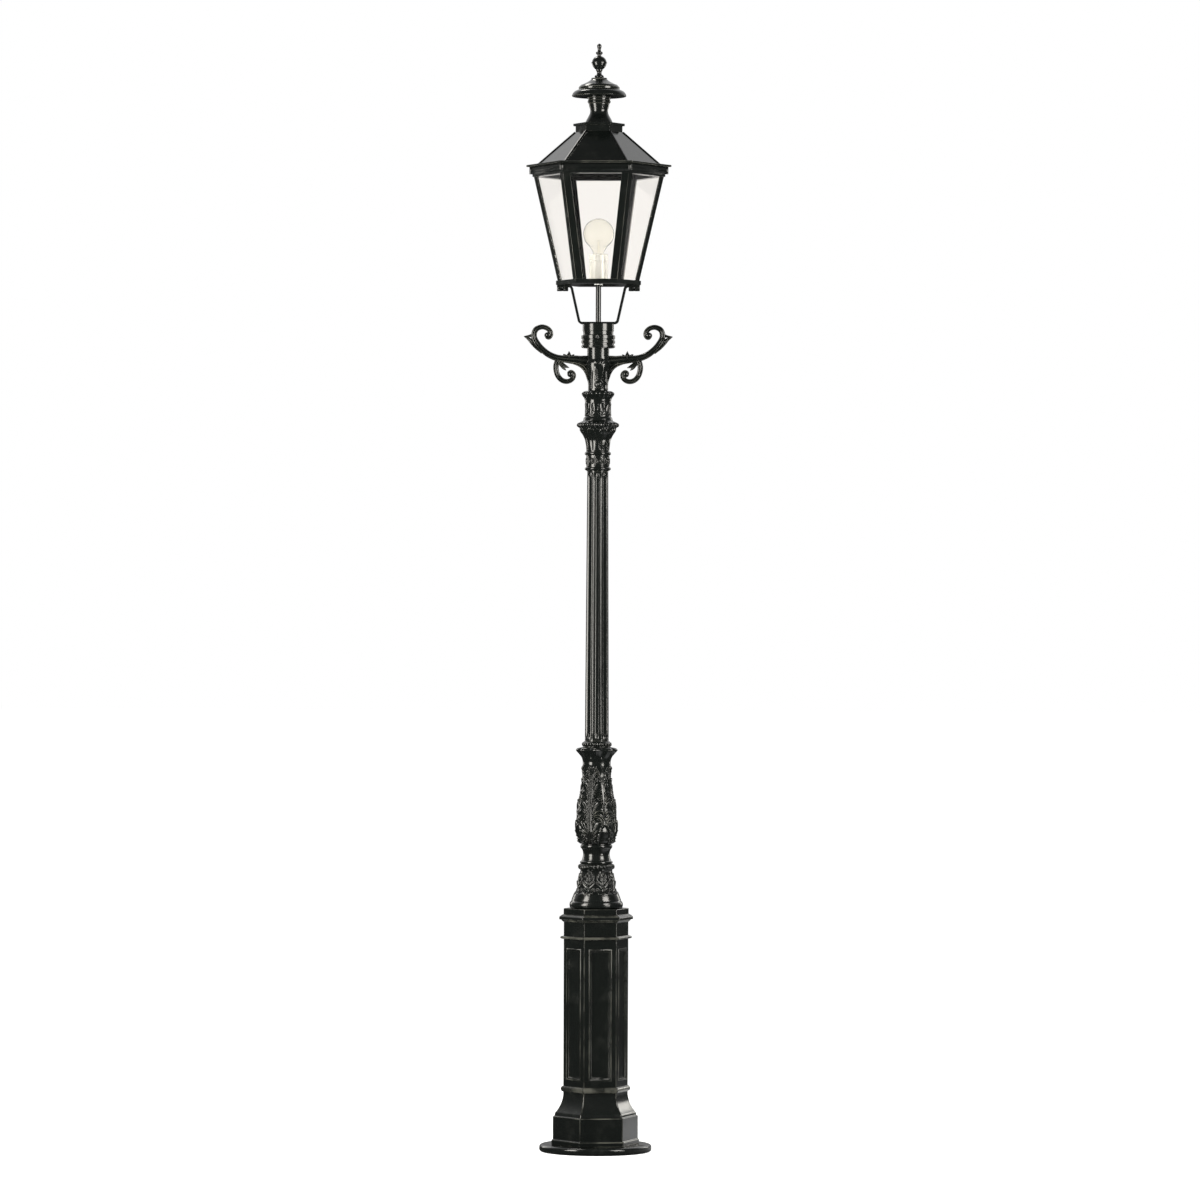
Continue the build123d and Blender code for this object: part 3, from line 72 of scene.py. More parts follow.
class Socket:
    """An output of a shader tree. Arithmetic on it adds Math nodes."""

    def __init__(self, tree, output=None):
        self.tree = tree
        self.output = output

    def node(self, kind, inputs=None, out=0, **settings):
        """Adds a node: its settings first, then the values or links of its inputs."""
        made = self.tree.nodes.new(kind)
        for name, value in settings.items():
            setattr(made, name, value)
        for key, value in (inputs or {}).items():
            if isinstance(value, Socket):
                self.tree.links.new(value.output, made.inputs[key])
            else:
                made.inputs[key].default_value = value
        return Socket(self.tree, made.outputs[out] if len(made.outputs) else None)

    def math(self, operation, first, second=0.0):
        return self.node("ShaderNodeMath", {0: first, 1: second}, operation=operation)

    def __add__(self, other):
        return self.math("ADD", self, other)

    def __sub__(self, other):
        return self.math("SUBTRACT", self, other)

    def __rsub__(self, other):
        return self.math("SUBTRACT", other, self)

    def __mul__(self, other):
        return self.math("MULTIPLY", self, other)

    __radd__ = __add__
    __rmul__ = __mul__

    def mix(self, factor, first, second):
        """A colour between two colours: places 6 and 7 and output 2 of the node are its colours."""
        return self.node("ShaderNodeMix", {0: factor, 6: first, 7: second}, out=2, data_type="RGBA")

    def band(self, value, low, high):
        """0 below low, 1 above high and a smooth step between."""
        return self.node("ShaderNodeMapRange", {0: value, 1: low, 2: high}, interpolation_type="SMOOTHSTEP")

    def place(self):
        """The piece's own coordinates, in metres."""
        return self.node("ShaderNodeTexCoord", out="Object")

    def noise(self, scale, detail):
        inputs = {"Vector": self.place(), "Scale": scale, "Detail": detail, "Roughness": 0.55}
        return self.node("ShaderNodeTexNoise", inputs)

    def bump(self, height, distance, strength):
        return self.node("ShaderNodeBump", {"Strength": strength, "Distance": distance, "Height": height})

    def surface(self, inputs):
        """Ends a material in one Principled shader."""
        shader = self.node("ShaderNodeBsdfPrincipled", inputs)
        self.node("ShaderNodeOutputMaterial", {"Surface": shader})


def new_finish(name):
    """An empty material and the socket that builds its tree."""
    material = bpy.data.materials.new(name)
    material.use_nodes = True
    material.node_tree.nodes.clear()
    return material, Socket(material.node_tree)


# Pointiness: above the first band a crest is rubbed and given a painted highlight, and below the second a
# hollow is dusty
crest_wear_and_highlight_band = (0.525, 0.61)
hollow_band = (0.42, 0.495)


def crest_wear_and_highlight(tree):
    """Carved pieces: rubbed and given a painted highlight on their crests, dusty in their hollows."""
    crest = tree.node("ShaderNodeNewGeometry", out="Pointiness")
    return tree.band(crest, *crest_wear_and_highlight_band), 1.0 - tree.band(crest, *hollow_band)


def edge_wear_and_highlight(tree):
    """Plain pieces: rubbed and given a painted highlight along their eased edges, with dull clouds on their
    faces.
    """
    edge = tree.node("ShaderNodeAttribute", out="Fac", attribute_name="edge_wear_and_highlight")
    return edge, tree.band(tree.noise(24.0, 5.0), 0.52, 0.78)


# Green-black paint: its film where it is thin and thick, where it is rubbed and carries a painted highlight,
# and under dust
film_dark = (0.0030, 0.0040, 0.0036, 1)
film_light = (0.0062, 0.0078, 0.0070, 1)
film_rubbed_and_highlit = (0.33, 0.33, 0.28, 1)
film_dusty = (0.022, 0.024, 0.021, 1)
least_rub_and_highlight = 0.12


def paint_finish(name, wear_and_highlight, rub_and_highlight_strength, dust_strength, ripple_depth, gloss):
    """Gloss paint: rippled film, dull patches, and lighter paint on crests and edges that is partly rubbed
    paint and partly a painted highlight.
    """
    material, tree = new_finish(name)
    patches = tree.noise(14.0, 4.0)
    grain = tree.noise(420.0, 2.0)
    ripple = tree.noise(95.0, 2.0)
    worn_and_highlit, dusty = wear_and_highlight(tree)
    # Lighter paint on crests and edges: rubbed paint, together with a painted highlight that stands in for
    # the lamps' glint
    rubbed_and_highlit = worn_and_highlit * (least_rub_and_highlight + (1 - least_rub_and_highlight) * tree.band(patches, 0.42, 0.64)) * rub_and_highlight_strength
    film = tree.mix(rubbed_and_highlit, tree.mix(patches, film_dark, film_light), film_rubbed_and_highlit)
    tree.surface({
        "Base Color": tree.mix(dusty * dust_strength, film, film_dusty),
        "Roughness": gloss + 0.10 * patches + 0.05 * grain + 0.12 * dusty,
        "IOR": 1.5,
        "Normal": tree.bump(ripple * ripple_depth + grain * 0.06, 0.0010, 1.0),
    })
    return material


def enamel_finish(name, colour, shade, gloss):
    """Enamel, porcelain, plastic or rubber: a faint cloud in the colour and a soft ripple in the skin."""
    material, tree = new_finish(name)
    cloud = tree.noise(60.0, 3.0)
    ripple = tree.noise(180.0, 2.0)
    tree.surface({
        "Base Color": tree.mix(cloud, colour, shade),
        "Roughness": gloss + 0.08 * cloud,
        "Normal": tree.bump(ripple, 0.0004, 0.08),
    })
    return material


def metal_finish(name, colour, shade, gloss, spangle_scale):
    """Plated or bare metal: crystal patches and fine scratches."""
    material, tree = new_finish(name)
    patch = tree.node("ShaderNodeTexVoronoi", {"Vector": tree.place(), "Scale": spangle_scale}, out="Color")
    level = tree.node("ShaderNodeSeparateColor", {0: patch})
    scratch = tree.noise(900.0, 2.0)
    tree.surface({
        "Base Color": tree.mix(level, colour, shade),
        "Metallic": 1.0,
        "Roughness": gloss + 0.12 * level + 0.06 * scratch,
        "Normal": tree.bump(scratch, 0.0003, 0.10),
    })
    return material


def glass_finish(name, tint, clear, smear, bend):
    """Glass with a faint smear where rain has dried."""
    material, tree = new_finish(name)
    streak = tree.noise(22.0, 4.0)
    tree.surface({
        "Base Color": tint,
        "Roughness": clear + smear * tree.band(streak, 0.45, 0.75),
        "IOR": bend,
        "Transmission Weight": 1.0,
    })
    return material


# Rub strengths: how much rubbed paint and painted highlight each paint carries on its crests and edges
finishes = {
    "cast_paint": paint_finish("carved_gloss_paint", crest_wear_and_highlight, 0.70, 0.25, 0.40, 0.09),
    "sheet_paint": paint_finish("sheet_gloss_paint", edge_wear_and_highlight, 0.40, 0.40, 0.06, 0.07),
    "plain_cast_paint": paint_finish("plain_gloss_paint", edge_wear_and_highlight, 0.30, 0.30, 0.09, 0.08),
    "fluted_paint": paint_finish("fluted_gloss_paint", crest_wear_and_highlight, 0.22, 0.30, 0.14, 0.12),
    "white_enamel": enamel_finish("white_enamel", (0.84, 0.83, 0.80, 1), (0.76, 0.75, 0.72, 1), 0.18),
    "porcelain": enamel_finish("glazed_porcelain", (0.80, 0.80, 0.76, 1), (0.70, 0.70, 0.66, 1), 0.12),
    "grey_plastic": enamel_finish("grey_moulded_plastic", (0.24, 0.25, 0.26, 1), (0.19, 0.20, 0.21, 1), 0.38),
    "cable_sheath": enamel_finish("rubber_sheath", (0.014, 0.014, 0.015, 1), (0.022, 0.022, 0.023, 1), 0.55),
    "steel": metal_finish("plated_steel", (0.60, 0.60, 0.58, 1), (0.42, 0.43, 0.43, 1), 0.26, 260.0),
    "lamp_brass": metal_finish("lamp_brass", (0.72, 0.56, 0.28, 1), (0.58, 0.43, 0.20, 1), 0.22, 420.0),
    "pane_glass": glass_finish("pane_glass", (0.985, 0.968, 0.945, 1), 0.0, 0.03, 1.24),
    "bulb_glass": glass_finish("bulb_glass", (0.995, 0.985, 0.94, 1), 0.16, 0.05, 1.16),
}

# Which finish and which body each node has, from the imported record
slot_of = {entry["node"]: entry["material_slot"] for entry in frame["record"]["subparts"]}
bodies = frame["record"]["behaviour"]["bodies"]
body_of = {node: body for body, nodes in bodies.items() for node in nodes}


def set_finish(mesh, material):
    mesh.materials.clear()
    mesh.materials.append(material)


def stand_for(piece, *nodes):
    """A piece takes the place and the body of the nodes that it stands for."""
    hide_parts(*nodes)
    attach(piece, body_of[nodes[0]])


def finish_mesh(mesh, material, smooth_angle):
    """Paints a mesh, and shades it smooth but for its hard edges."""
    set_finish(mesh, material)
    mesh.polygons.foreach_set("use_smooth", [True] * len(mesh.polygons))
    mesh.set_sharp_from_angle(angle=math.radians(smooth_angle))


def add_object(name, data):
    """A new object in the scene."""
    made = bpy.data.objects.new(name, data)
    bpy.context.scene.collection.objects.link(made)
    return made


def piece_from(name, work, material, smooth_angle=40):
    """A finished piece from a bmesh."""
    mesh = bpy.data.meshes.new(name)
    work.to_mesh(mesh)
    work.free()
    finish_mesh(mesh, material, smooth_angle)
    return add_object(name, mesh)


# Plain edges: the angles under which an edge is flat and over which it is hard, and how wide edges are eased
flat_angle = math.radians(0.4)
hard_angle = math.radians(35)
plain_ease = 0.8
post_ease = 0.5


def weigh_normals(piece):
    """Shades the faces flat and their eased edges round."""
    piece.modifiers.new("face_normals", "WEIGHTED_NORMAL").keep_sharp = True


def eased_copy(node, width):
    """The node's own shape with its hard edges eased, so that they catch the light."""
    work = bmesh.new()
    work.from_mesh(frame["nodes"][node].data)
    bmesh.ops.remove_doubles(work, verts=work.verts, dist=copy_weld)
    bmesh.ops.dissolve_limit(work, angle_limit=flat_angle, verts=work.verts, edges=work.edges)
    wear_and_highlight = work.faces.layers.float.new("edge_wear_and_highlight")
    inner_edges = [edge for edge in work.edges if len(edge.link_faces) == 2]
    hard_edges = [edge for edge in inner_edges if edge.calc_face_angle() > hard_angle]
    made = bmesh.ops.bevel(work, geom=hard_edges, offset=width * mm, offset_type="OFFSET", segments=2,
                           profile=0.5, affect="EDGES", clamp_overlap=True)
    # The eased faces carry rubbed paint and a painted highlight
    for face in made["faces"]:
        face[wear_and_highlight] = 1.0
    slot = slot_of[node]
    finish = "plain_cast_paint" if slot == "cast_paint" else slot
    piece = piece_from(node + ".eased", work, finishes[finish], 60)
    weigh_normals(piece)
    stand_for(piece, node)


def corners(*points):
    """Straight runs between points."""
    return [Vector(point) for point in points]


def smooth(*points, step=1.3):
    """A smooth curve through (radius, height) points."""
    knots = corners(*points)
    ends = [2 * knots[0] - knots[1], *knots, 2 * knots[-1] - knots[-2]]
    traced = []
    for before, start, end, after in zip(ends, ends[1:], ends[2:], ends[3:]):
        count = max(1, round((end - start).length / step))
        for index in range(count):
            t = index / count
            bend = 3 * t ** 2 - 2 * t ** 3
            leave = (end - before) / 2 * (t ** 3 - 2 * t ** 2 + t)
            arrive = (after - start) / 2 * (t ** 3 - t ** 2)
            traced.append(start * (1 - bend) + end * bend + leave + arrive)
    return traced + [knots[-1]]


def arc(start, middle, end, steps=16):
    """A round stretch from start to end through a point between them."""
    first, second, third = corners(start, middle, end)
    rises = (second.y - third.y, third.y - first.y, first.y - second.y)
    runs = (third.x - second.x, first.x - third.x, second.x - first.x)
    weights = [point.length_squared for point in (first, second, third)]
    area = 2 * (first.x * rises[0] + second.x * rises[1] + third.x * rises[2])
    moments = [sum(weight * way for weight, way in zip(weights, ways)) for ways in (rises, runs)]
    centre = Vector(moments) / area
    begin = first - centre
    sweep = begin.angle_signed(third - centre)
    return [centre + Matrix.Rotation(-sweep * index / steps, 2) @ begin for index in range(steps + 1)]


def swell(start, end, height, steps=12):
    """Half an ellipse that swells to the right of the way from start to end."""
    start, end = corners(start, end)
    centre = (start + end) / 2
    half = (end - start) / 2
    way = (end - start).normalized()
    outwards = Vector((way.y, -way.x)) * height
    turns = [math.pi * index / steps for index in range(steps + 1)]
    return [centre - half * math.cos(turn) + outwards * math.sin(turn) for turn in turns]


def eased(*points, radius=1.0):
    """Straight runs between points, with each inner corner rounded."""
    knots = corners(*points)
    traced = [knots[0]]
    for before, corner, after in zip(knots, knots[1:], knots[2:]):
        reach = min(radius, (before - corner).length * 0.45, (after - corner).length * 0.45)
        start = corner + (before - corner).normalized() * reach
        end = corner + (after - corner).normalized() * reach
        for t in (0, 0.25, 0.5, 0.75, 1):
            traced.append(start * (1 - t) ** 2 + corner * 2 * t * (1 - t) + end * t ** 2)
    return traced + [knots[-1]]


def no_relief(angle, radius, height):
    return np.zeros(np.broadcast(angle, radius, height).shape)


def turned(name, outline, material, segments, smooth_angle, relief=no_relief, foot=0.0, closed=True,
           first=0.0):
    """An outline spun about the axis and carved with a relief. Six segments make a hexagon."""
    least_step = 0.02
    points = [outline[0]]
    for point in outline[1:]:
        if (point - points[-1]).length > least_step:
            points.append(point)
    radius = np.array([point.x for point in points])[:, None]
    height = np.array([point.y for point in points])[:, None]
    angle = np.linspace(first, first + 2 * math.pi, segments, endpoint=False)[None, :]
    carved = radius + relief(angle, radius, height)
    places = np.stack([carved * np.cos(angle), carved * np.sin(angle), height + foot + 0 * angle], axis=2)
    rows = len(points)
    work = bmesh.new()
    rings = [[work.verts.new(place * mm) for place in row] for row in places]
    for index in range(rows if closed else rows - 1):
        lower = rings[index]
        upper = rings[(index + 1) % rows]
        for side in range(segments):
            after = (side + 1) % segments
            work.faces.new((lower[side], lower[after], upper[after], upper[side]))
    bmesh.ops.remove_doubles(work, verts=work.verts, dist=turned_weld)
    bmesh.ops.recalc_face_normals(work, faces=work.faces)
    return piece_from(name, work, material, smooth_angle)


def step_up(value, low, high):
    """0 below low, 1 above high and a smooth step between."""
    share = np.clip((value - low) / (high - low), 0, 1)
    return share * share * (3 - 2 * share)


def window(value, low, high, rise, fall):
    """1 between low and high, with a smooth step just inside each of them."""
    return step_up(value, low, low + rise) * step_up(high - value, 0, fall)


def from_axis(angle, count, first):
    """Angle from the nearest of a ring of evenly spaced axes."""
    spacing = 2 * math.pi / count
    return (angle - first + spacing / 2) % spacing - spacing / 2


def row_of(angle, count, roundness):
    """A ring of bumps that meet in sharp notches."""
    return np.abs(np.cos(angle * count / 2)) ** roundness


# Castings on the post: their bore, and the numbers and angles of their leaves. Heights count from each foot
bore = 21.4
front = math.radians(-90)
leaf_count = 8
bulb_leaf_count = 4
bulb_leaf = front + math.radians(-20)
foot_leaf = front + math.radians(-25)
crown_lobe = front + math.radians(-2)
bell_leaf = front + math.radians(19)
fan_leaf = front + math.radians(-14)


def clear_of_bore(radius, near=4, far=9):
    """0 in the bore and 1 on the outside, so that only the outside is carved."""
    return step_up(radius, bore + near, bore + far)


def foot_leaves(angle, radius, height, low, high):
    """A ring of acanthus leaves: a midrib, lobes in tiers that overlap upwards, and fingered veins."""
    tiers = 3.0
    depth = 5.2
    fill = 0.94
    lean = 0.26
    across = from_axis(angle, leaf_count, foot_leaf) * radius
    along = (height - low) / (high - low)
    inside = np.clip(along, 0.001, 0.999)
    room = math.pi * radius / leaf_count * fill
    half = room * np.minimum(1, 0.78 + inside) * np.sqrt(1 - inside ** 5)
    side = np.abs(across) / np.maximum(half, 0.5)
    tier = (inside - lean * np.clip(side, 0, 1.2) ** 1.7 + lean) * tiers
    part = tier - np.floor(tier)
    edge = 0.78 + 0.22 * np.sin(math.pi * part) ** 0.6
    leaf = step_up(edge - side, 0.0, 0.14) * step_up(along, -0.02, 0.03) * step_up(1 - along, 0.0, 0.03)
    finger = np.abs(np.cos(math.pi * 2.0 * part + 0.35))
    overlap = part ** 1.3 * step_up(1.04 - part, 0.0, 0.10)
    spread = step_up(side, 0.06, 0.30)
    rib = np.exp(-(across / (0.055 * room + 0.9)) ** 2)
    curl = step_up(side, 0.55, 0.95)
    blade = 0.26 + spread * (0.46 * overlap + 0.30 * finger - 0.12) + 0.10 * curl
    return depth * leaf * (blade + 0.55 * rib)


def foot_relief(angle, radius, height):
    """Leaves on the foot, and the slanting strands of the rope ring."""
    leaf_low = 38
    leaf_high = 98
    rope_low = 100
    rope_high = 116
    rope_strands = 26
    rope_slant = 0.30
    leaves = foot_leaves(angle, radius, height, leaf_low, leaf_high)
    ground = 2.4 * window(height, leaf_low, rope_low, 8, 6)
    turn = angle * rope_strands + (height - (rope_low + rope_high) / 2) * rope_slant
    rope = (np.abs(np.sin(turn / 2)) ** 0.7 - 0.75) * 3.2 * window(height, rope_low, rope_high, 3, 3)
    return clear_of_bore(radius) * (leaves - ground + rope)


def bulb_relief(angle, radius, height):
    """Broad leaves that clasp the bulb: ribbed stalks, tiers of fanned fingers, and arches between them."""
    leaf_foot = 168
    leaf_length = 206
    leaf_depth = 6.8
    ground_depth = 4.5
    tier_height = 54
    finger_turns = 14
    stalk_half = 6.5
    stalk_ribs = 1.43
    arch_height = 46
    arch_share = 0.40
    ground_span = (170, 378)
    across = np.abs(from_axis(angle, bulb_leaf_count, bulb_leaf)) * radius
    half = math.pi * radius / bulb_leaf_count
    side = across / half
    up = height - leaf_foot
    along = np.clip(up / leaf_length, 0, 1)
    tier = up / tier_height - 0.9 * side + 1.1 * side ** 2
    part = tier - np.floor(tier)
    droop = 0.5 * across ** 2 / half
    finger = 1 - np.abs(np.sin(finger_turns * np.arctan2(part * tier_height + droop, across + 1)))
    lobe = step_up(0.88 + 0.12 * finger - part, -0.02, 0.05)
    beside_stalk = step_up(across, stalk_half - 1.5, stalk_half + 5)
    fan = beside_stalk * lobe * (0.44 * part ** 1.2 + 0.52 * finger - 0.10)
    stalk = np.exp(-(across / stalk_half) ** 4) * (0.52 + 0.10 * np.cos(across * stalk_ribs))
    arch = np.sqrt(((1 - side) / arch_share) ** 2 + (np.maximum(up, 0) / arch_height) ** 2)
    arch_rim = np.exp(-((arch - 1.1) / 0.10) ** 2)
    leaf = step_up(0.97 * np.sqrt(1 - along ** 6) - side, 0, 0.08) * step_up(1 - along, 0, 0.04)
    raised = leaf * step_up(arch, 0.9, 1.1) * (0.24 + fan + stalk) + 0.3 * arch_rim
    ground = ground_depth * window(height, *ground_span, 16, 40)
    return clear_of_bore(radius) * (leaf_depth * raised - ground)


def crown_relief(angle, radius, height):
    """Pointed lobes that bend outwards under the shaft, and the beads above them."""
    bead_count = 22
    lip_span = (386, 421)
    bead_span = (420, 432)
    off = np.abs(from_axis(angle, leaf_count, crown_lobe)) / (math.pi / leaf_count)
    lip = window(height, *lip_span, 24, 7)
    lobes = lip * (2.2 - 8.5 * off ** 1.6 + 1.4 * np.exp(-(off / 0.10) ** 2))
    beads = (row_of(angle, bead_count, 0.6) - 0.6) * 2.6 * window(height, *bead_span, 3, 3)
    return clear_of_bore(radius) * (lobes + beads)


def ring_mark(across, up, size, thickness):
    """A raised ring with a bud in its middle."""
    reach = np.sqrt(across ** 2 + up ** 2)
    return np.exp(-((reach - size) / thickness) ** 2) + 0.9 * np.exp(-(reach / (size * 0.42)) ** 2)


def fan_mark(across, up, reach, fingers):
    """A fan of fingers that spread upwards from its foot."""
    distance = np.sqrt(across ** 2 + up ** 2)
    lean = np.arctan2(across, np.maximum(up, 0.001))
    blades = np.abs(np.cos(lean * fingers)) ** 0.8
    within = step_up(reach - distance, 0, reach * 0.18) * step_up(1.25 - np.abs(lean), 0, 0.3)
    return within * step_up(up, 0.0, 2.0) * (0.35 + 0.65 * blades) * (0.45 + 0.55 * distance / reach)


def capital_relief(angle, radius, height):
    """Scrolls on the neck, water leaves on the bell, scallops on the flange and fans on the band."""
    bell_beads = 32
    scallop_count = 24
    flare_lobes = 16
    neck_span = (11, 41)
    bell_span = (53, 112)
    flange_span = (112, 128)
    band_span = (140, 188)
    flare_span = (188, 210)
    between_fans = fan_leaf + math.pi / leaf_count
    between_off = from_axis(angle, leaf_count, between_fans) * radius
    neck_ribs = np.exp(-((np.abs(between_off) - 11.4) / 1.2) ** 2)
    neck_rings = ring_mark(between_off, height - 26, 6.4, 1.6)
    scrolls = window(height, *neck_span, 3, 3) * (1.9 * neck_rings + 1.2 * neck_ribs)
    bell_off = from_axis(angle, leaf_count, bell_leaf) * radius
    along = np.clip((height - 54) / 56, 0, 1)
    half = math.pi * radius / leaf_count * np.minimum(1, 0.5 + along) * np.sqrt(1 - along ** 4) + 0.01
    side = np.abs(bell_off) / half
    on_bell = window(height, *bell_span, 3, 3)
    leaf = step_up(0.94 - side, 0, 0.12) * (0.35 + 0.5 * side ** 2)
    bell = on_bell * (2.4 * leaf + 1.3 * np.exp(-(bell_off / 1.3) ** 2) - 1.6)
    beads = on_bell * step_up(height, 96, 100) * 1.8 * row_of(angle, bell_beads, 0.7)
    scallops = window(height, *flange_span, 3, 4) * (row_of(angle, scallop_count, 0.8) - 0.7) * 4.2
    band = window(height, *band_span, 3, 3)
    fan_off = from_axis(angle, leaf_count, fan_leaf) * radius
    fans = band * (3.6 * fan_mark(fan_off, height - 146, 34, 4.5) - 1.2)
    low_fans = band * 2.4 * fan_mark(between_off, height - 141, 20, 3.5)
    lobes = window(height, *flare_span, 8, 4) * (row_of(angle, flare_lobes, 0.9) - 0.6) * 2.6
    carved = scrolls + bell + beads + scallops + np.maximum(fans, low_fans) + lobes
    return clear_of_bore(radius, 4, 7) * carved


def hub_relief(angle, radius, height):
    """A volute with leaves above it on the hub's front and back, and a fan under the neck."""
    ornament = front + math.radians(7)
    volute_middle = 17
    blade_span = (26, 66)
    fan_foot = 66
    rib_span = (2, 60)
    rib_place = 21
    spigot_foot = 111
    off = from_axis(angle, 2, ornament) * radius
    volute = 2.6 * ring_mark(off, height - volute_middle, 9.5, 2.2) * step_up(height, 1, 4)
    blade_line = 6 + (height - 30) * 0.14
    blades = 2.2 * np.exp(-((np.abs(off) - blade_line) / 2.4) ** 2) * window(height, *blade_span, 6, 14)
    fan = 2.6 * fan_mark(off, height - fan_foot, 19, 4.5)
    side_ribs = 1.6 * np.exp(-((np.abs(off) - rib_place) / 2.0) ** 2) * window(height, *rib_span, 6, 20)
    below_spigot = step_up(spigot_foot - height, 0, 3)
    return clear_of_bore(radius, 3, 4.5) * below_spigot * (volute + blades + fan + side_ribs)


def build_casting(node, name, outline, relief, segments, smooth_angle=75):
    """A carved casting of the post, or one stretch of it."""
    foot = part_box(node)[0].z / mm
    piece = turned(name, outline, finishes["cast_paint"], segments, smooth_angle, relief, foot)
    stand_for(piece, node)


def build_baluster():
    """Foot, bulb and crown, each carved on its own."""
    lower = [
        *eased((bore, 0), (65.5, 0), (66.5, 1)),
        *swell((67, 1.5), (66.5, 17), 2.7),
        *eased((66, 18), (64.5, 20), (64, 23)),
        *smooth((64, 23), (59, 36), (54.7, 41), (50.5, 49), (50, 58), (49.3, 72), (45.5, 84), (42.5, 95),
                (42, 100)),
        *swell((42, 101), (42, 115), 5.2),
        *eased((40, 116), (42.3, 117.5), (42.3, 121.5), (39, 123), radius=0.8),
        *smooth((39, 123), (36, 131), (34.3, 141), (36, 150), (38, 154)),
        *swell((38, 155), (38, 166), 3.4),
        *eased((38, 167), (37, 168), (bore, 168)),
    ]
    bulb = [
        *eased((bore, 167.5), (37, 167.5), (40, 170)),
        *smooth((40, 170), (47.2, 177), (53.2, 192), (54.6, 208), (52, 249), (48, 281), (41.4, 312),
                (37.6, 343), (36.2, 380)),
        *eased((36.2, 380), (36.2, 386), (bore, 386)),
    ]
    crown = [
        *eased((bore, 379.5), (36, 379.5)),
        *smooth((36, 379.5), (39, 392), (44, 401), (50, 409), (50.5, 412), (47, 416)),
        *eased((47, 416), (36, 419), (35.5, 420)),
        *swell((35.5, 421), (35.5, 431), 2.4),
        *eased((34.5, 432), (33, 434), (bore, 434)),
    ]
    build_casting("baluster", "baluster_foot", lower, foot_relief, 352)
    build_casting("baluster", "baluster_bulb", bulb, bulb_relief, 384)
    build_casting("baluster", "baluster_crown", crown, crown_relief, 352)


def build_capital():
    """Neck, bell, flange and band, up to the hub."""
    outline = [
        *eased((bore, 0), (29.5, 0), (30, 1.5)),
        *swell((30, 2), (30, 10), 4.0),
        *smooth((30, 10.5), (30, 26), (30, 40.5)),
        *swell((30, 41), (30, 50), 4.2),
        *smooth((30, 51), (30.6, 56), (31.2, 66), (33.4, 80), (36.6, 88), (41.5, 97), (46, 105), (48, 112)),
        *eased((48, 112), (50, 114), (53.5, 116.5), (54.2, 121), (51, 125), (40, 130), (38.5, 131),
               radius=1.6),
        *smooth((38.5, 131), (37.6, 135), (36.5, 139)),
        *smooth((33.5, 141), (32.4, 156), (33.2, 172), (35, 187), (41.3, 199)),
        *eased((41.3, 199), (41.8, 202), (38, 206), (34, 208), (bore, 208)),
    ]
    build_casting("capital", "capital_carved", outline, capital_relief, 352)


def build_hub():
    """The hub between the scroll arms, with the spigot that carries the lantern."""
    outline = [
        *eased((bore, 0), (25.5, 0), (26, 1)),
        *smooth((26, 1), (26.2, 18), (29.4, 42), (33, 62), (33, 72), (29.5, 82), (28.6, 90)),
        *smooth((28.6, 90), (28.5, 110)),
        *eased((28.5, 110), (28.5, 152), (8, 152), (8, 144), (bore, 144), radius=0.6),
    ]
    build_casting("bracket_hub", "bracket_hub_carved", outline, hub_relief, 288, 60)


# Pedestal: half widths across flats and heights above its foot
corner_ease = 4.0
body_half = 74.0
inner_half = 65.0
panel_low = 168.0
panel_high = 510.0
panel_half = 30.5
door_opening = (29.5, 169.5, 508.5)
body_low = 153.0
body_high = 533.0
deck_under = 597.0
rear_face = 1

# Rubbed paint and painted highlight on it: shares on short edges that stand out and on the corners, and how
# short such an edge is
edge_wear_and_highlight_share = 0.8
corner_wear_and_highlight_share = 0.3
short_edge = 3.5
least_bulge = 0.01

# Moulding round a panel: inset, height above the body's face, and share of rubbed paint and painted highlight
panel_moulding = [
    (0, 0, 0), (0.8, 1.0, 0.45), (2.2, 1.6, 0.45), (3.8, 1.3, 0.45), (5.2, 0.2, 0), (6.4, -1.6, 0),
    (7.8, -2.4, 0.2), (9.2, -2.5, 0), (10, -3.5, 0),
]


def hexagon_ring(half, height, ease, steps=6):
    """Points round a hexagon with eased corners: one list a corner."""
    ring = []
    for corner in range(6):
        angle = pedestal_turn + corner * math.pi / 3
        reach = (half - ease) / math.cos(math.pi / 6)
        turns = [angle + math.pi / 3 * (index / steps - 0.5) for index in range(steps + 1)]
        ring.append([Vector((reach * math.cos(angle) + ease * math.cos(turn),
                             reach * math.sin(angle) + ease * math.sin(turn), height)) for turn in turns])
    return ring


class Skin:
    """Faces of a mesh in the making, each with its share of rubbed paint and painted highlight."""

    def __init__(self):
        self.work = bmesh.new()
        self.wear_and_highlight = self.work.faces.layers.float.new("edge_wear_and_highlight")

    def face(self, points, worn_and_highlit=0.0):
        made = self.work.faces.new([self.work.verts.new(point * mm) for point in points])
        made[self.wear_and_highlight] = worn_and_highlit

    def band(self, lower, upper, worn_and_highlit, corner_worn_and_highlit, flats=True):
        """Faces between two rings: the eased corners, and the flats unless they are left for panels."""
        for corner in range(6):
            after = (corner + 1) % 6
            rounds = zip(lower[corner], lower[corner][1:], upper[corner][1:], upper[corner])
            for round_face in rounds:
                self.face(round_face, corner_worn_and_highlit)
            if flats:
                self.face([lower[corner][-1], lower[after][0], upper[after][0], upper[corner][-1]], worn_and_highlit)

    def frame(self, outer, inner, worn_and_highlit=0.0):
        """Four faces between two rectangles, both given by their corners in order."""
        for index in range(4):
            after = (index + 1) % 4
            self.face([outer[index], outer[after], inner[after], inner[index]], worn_and_highlit)


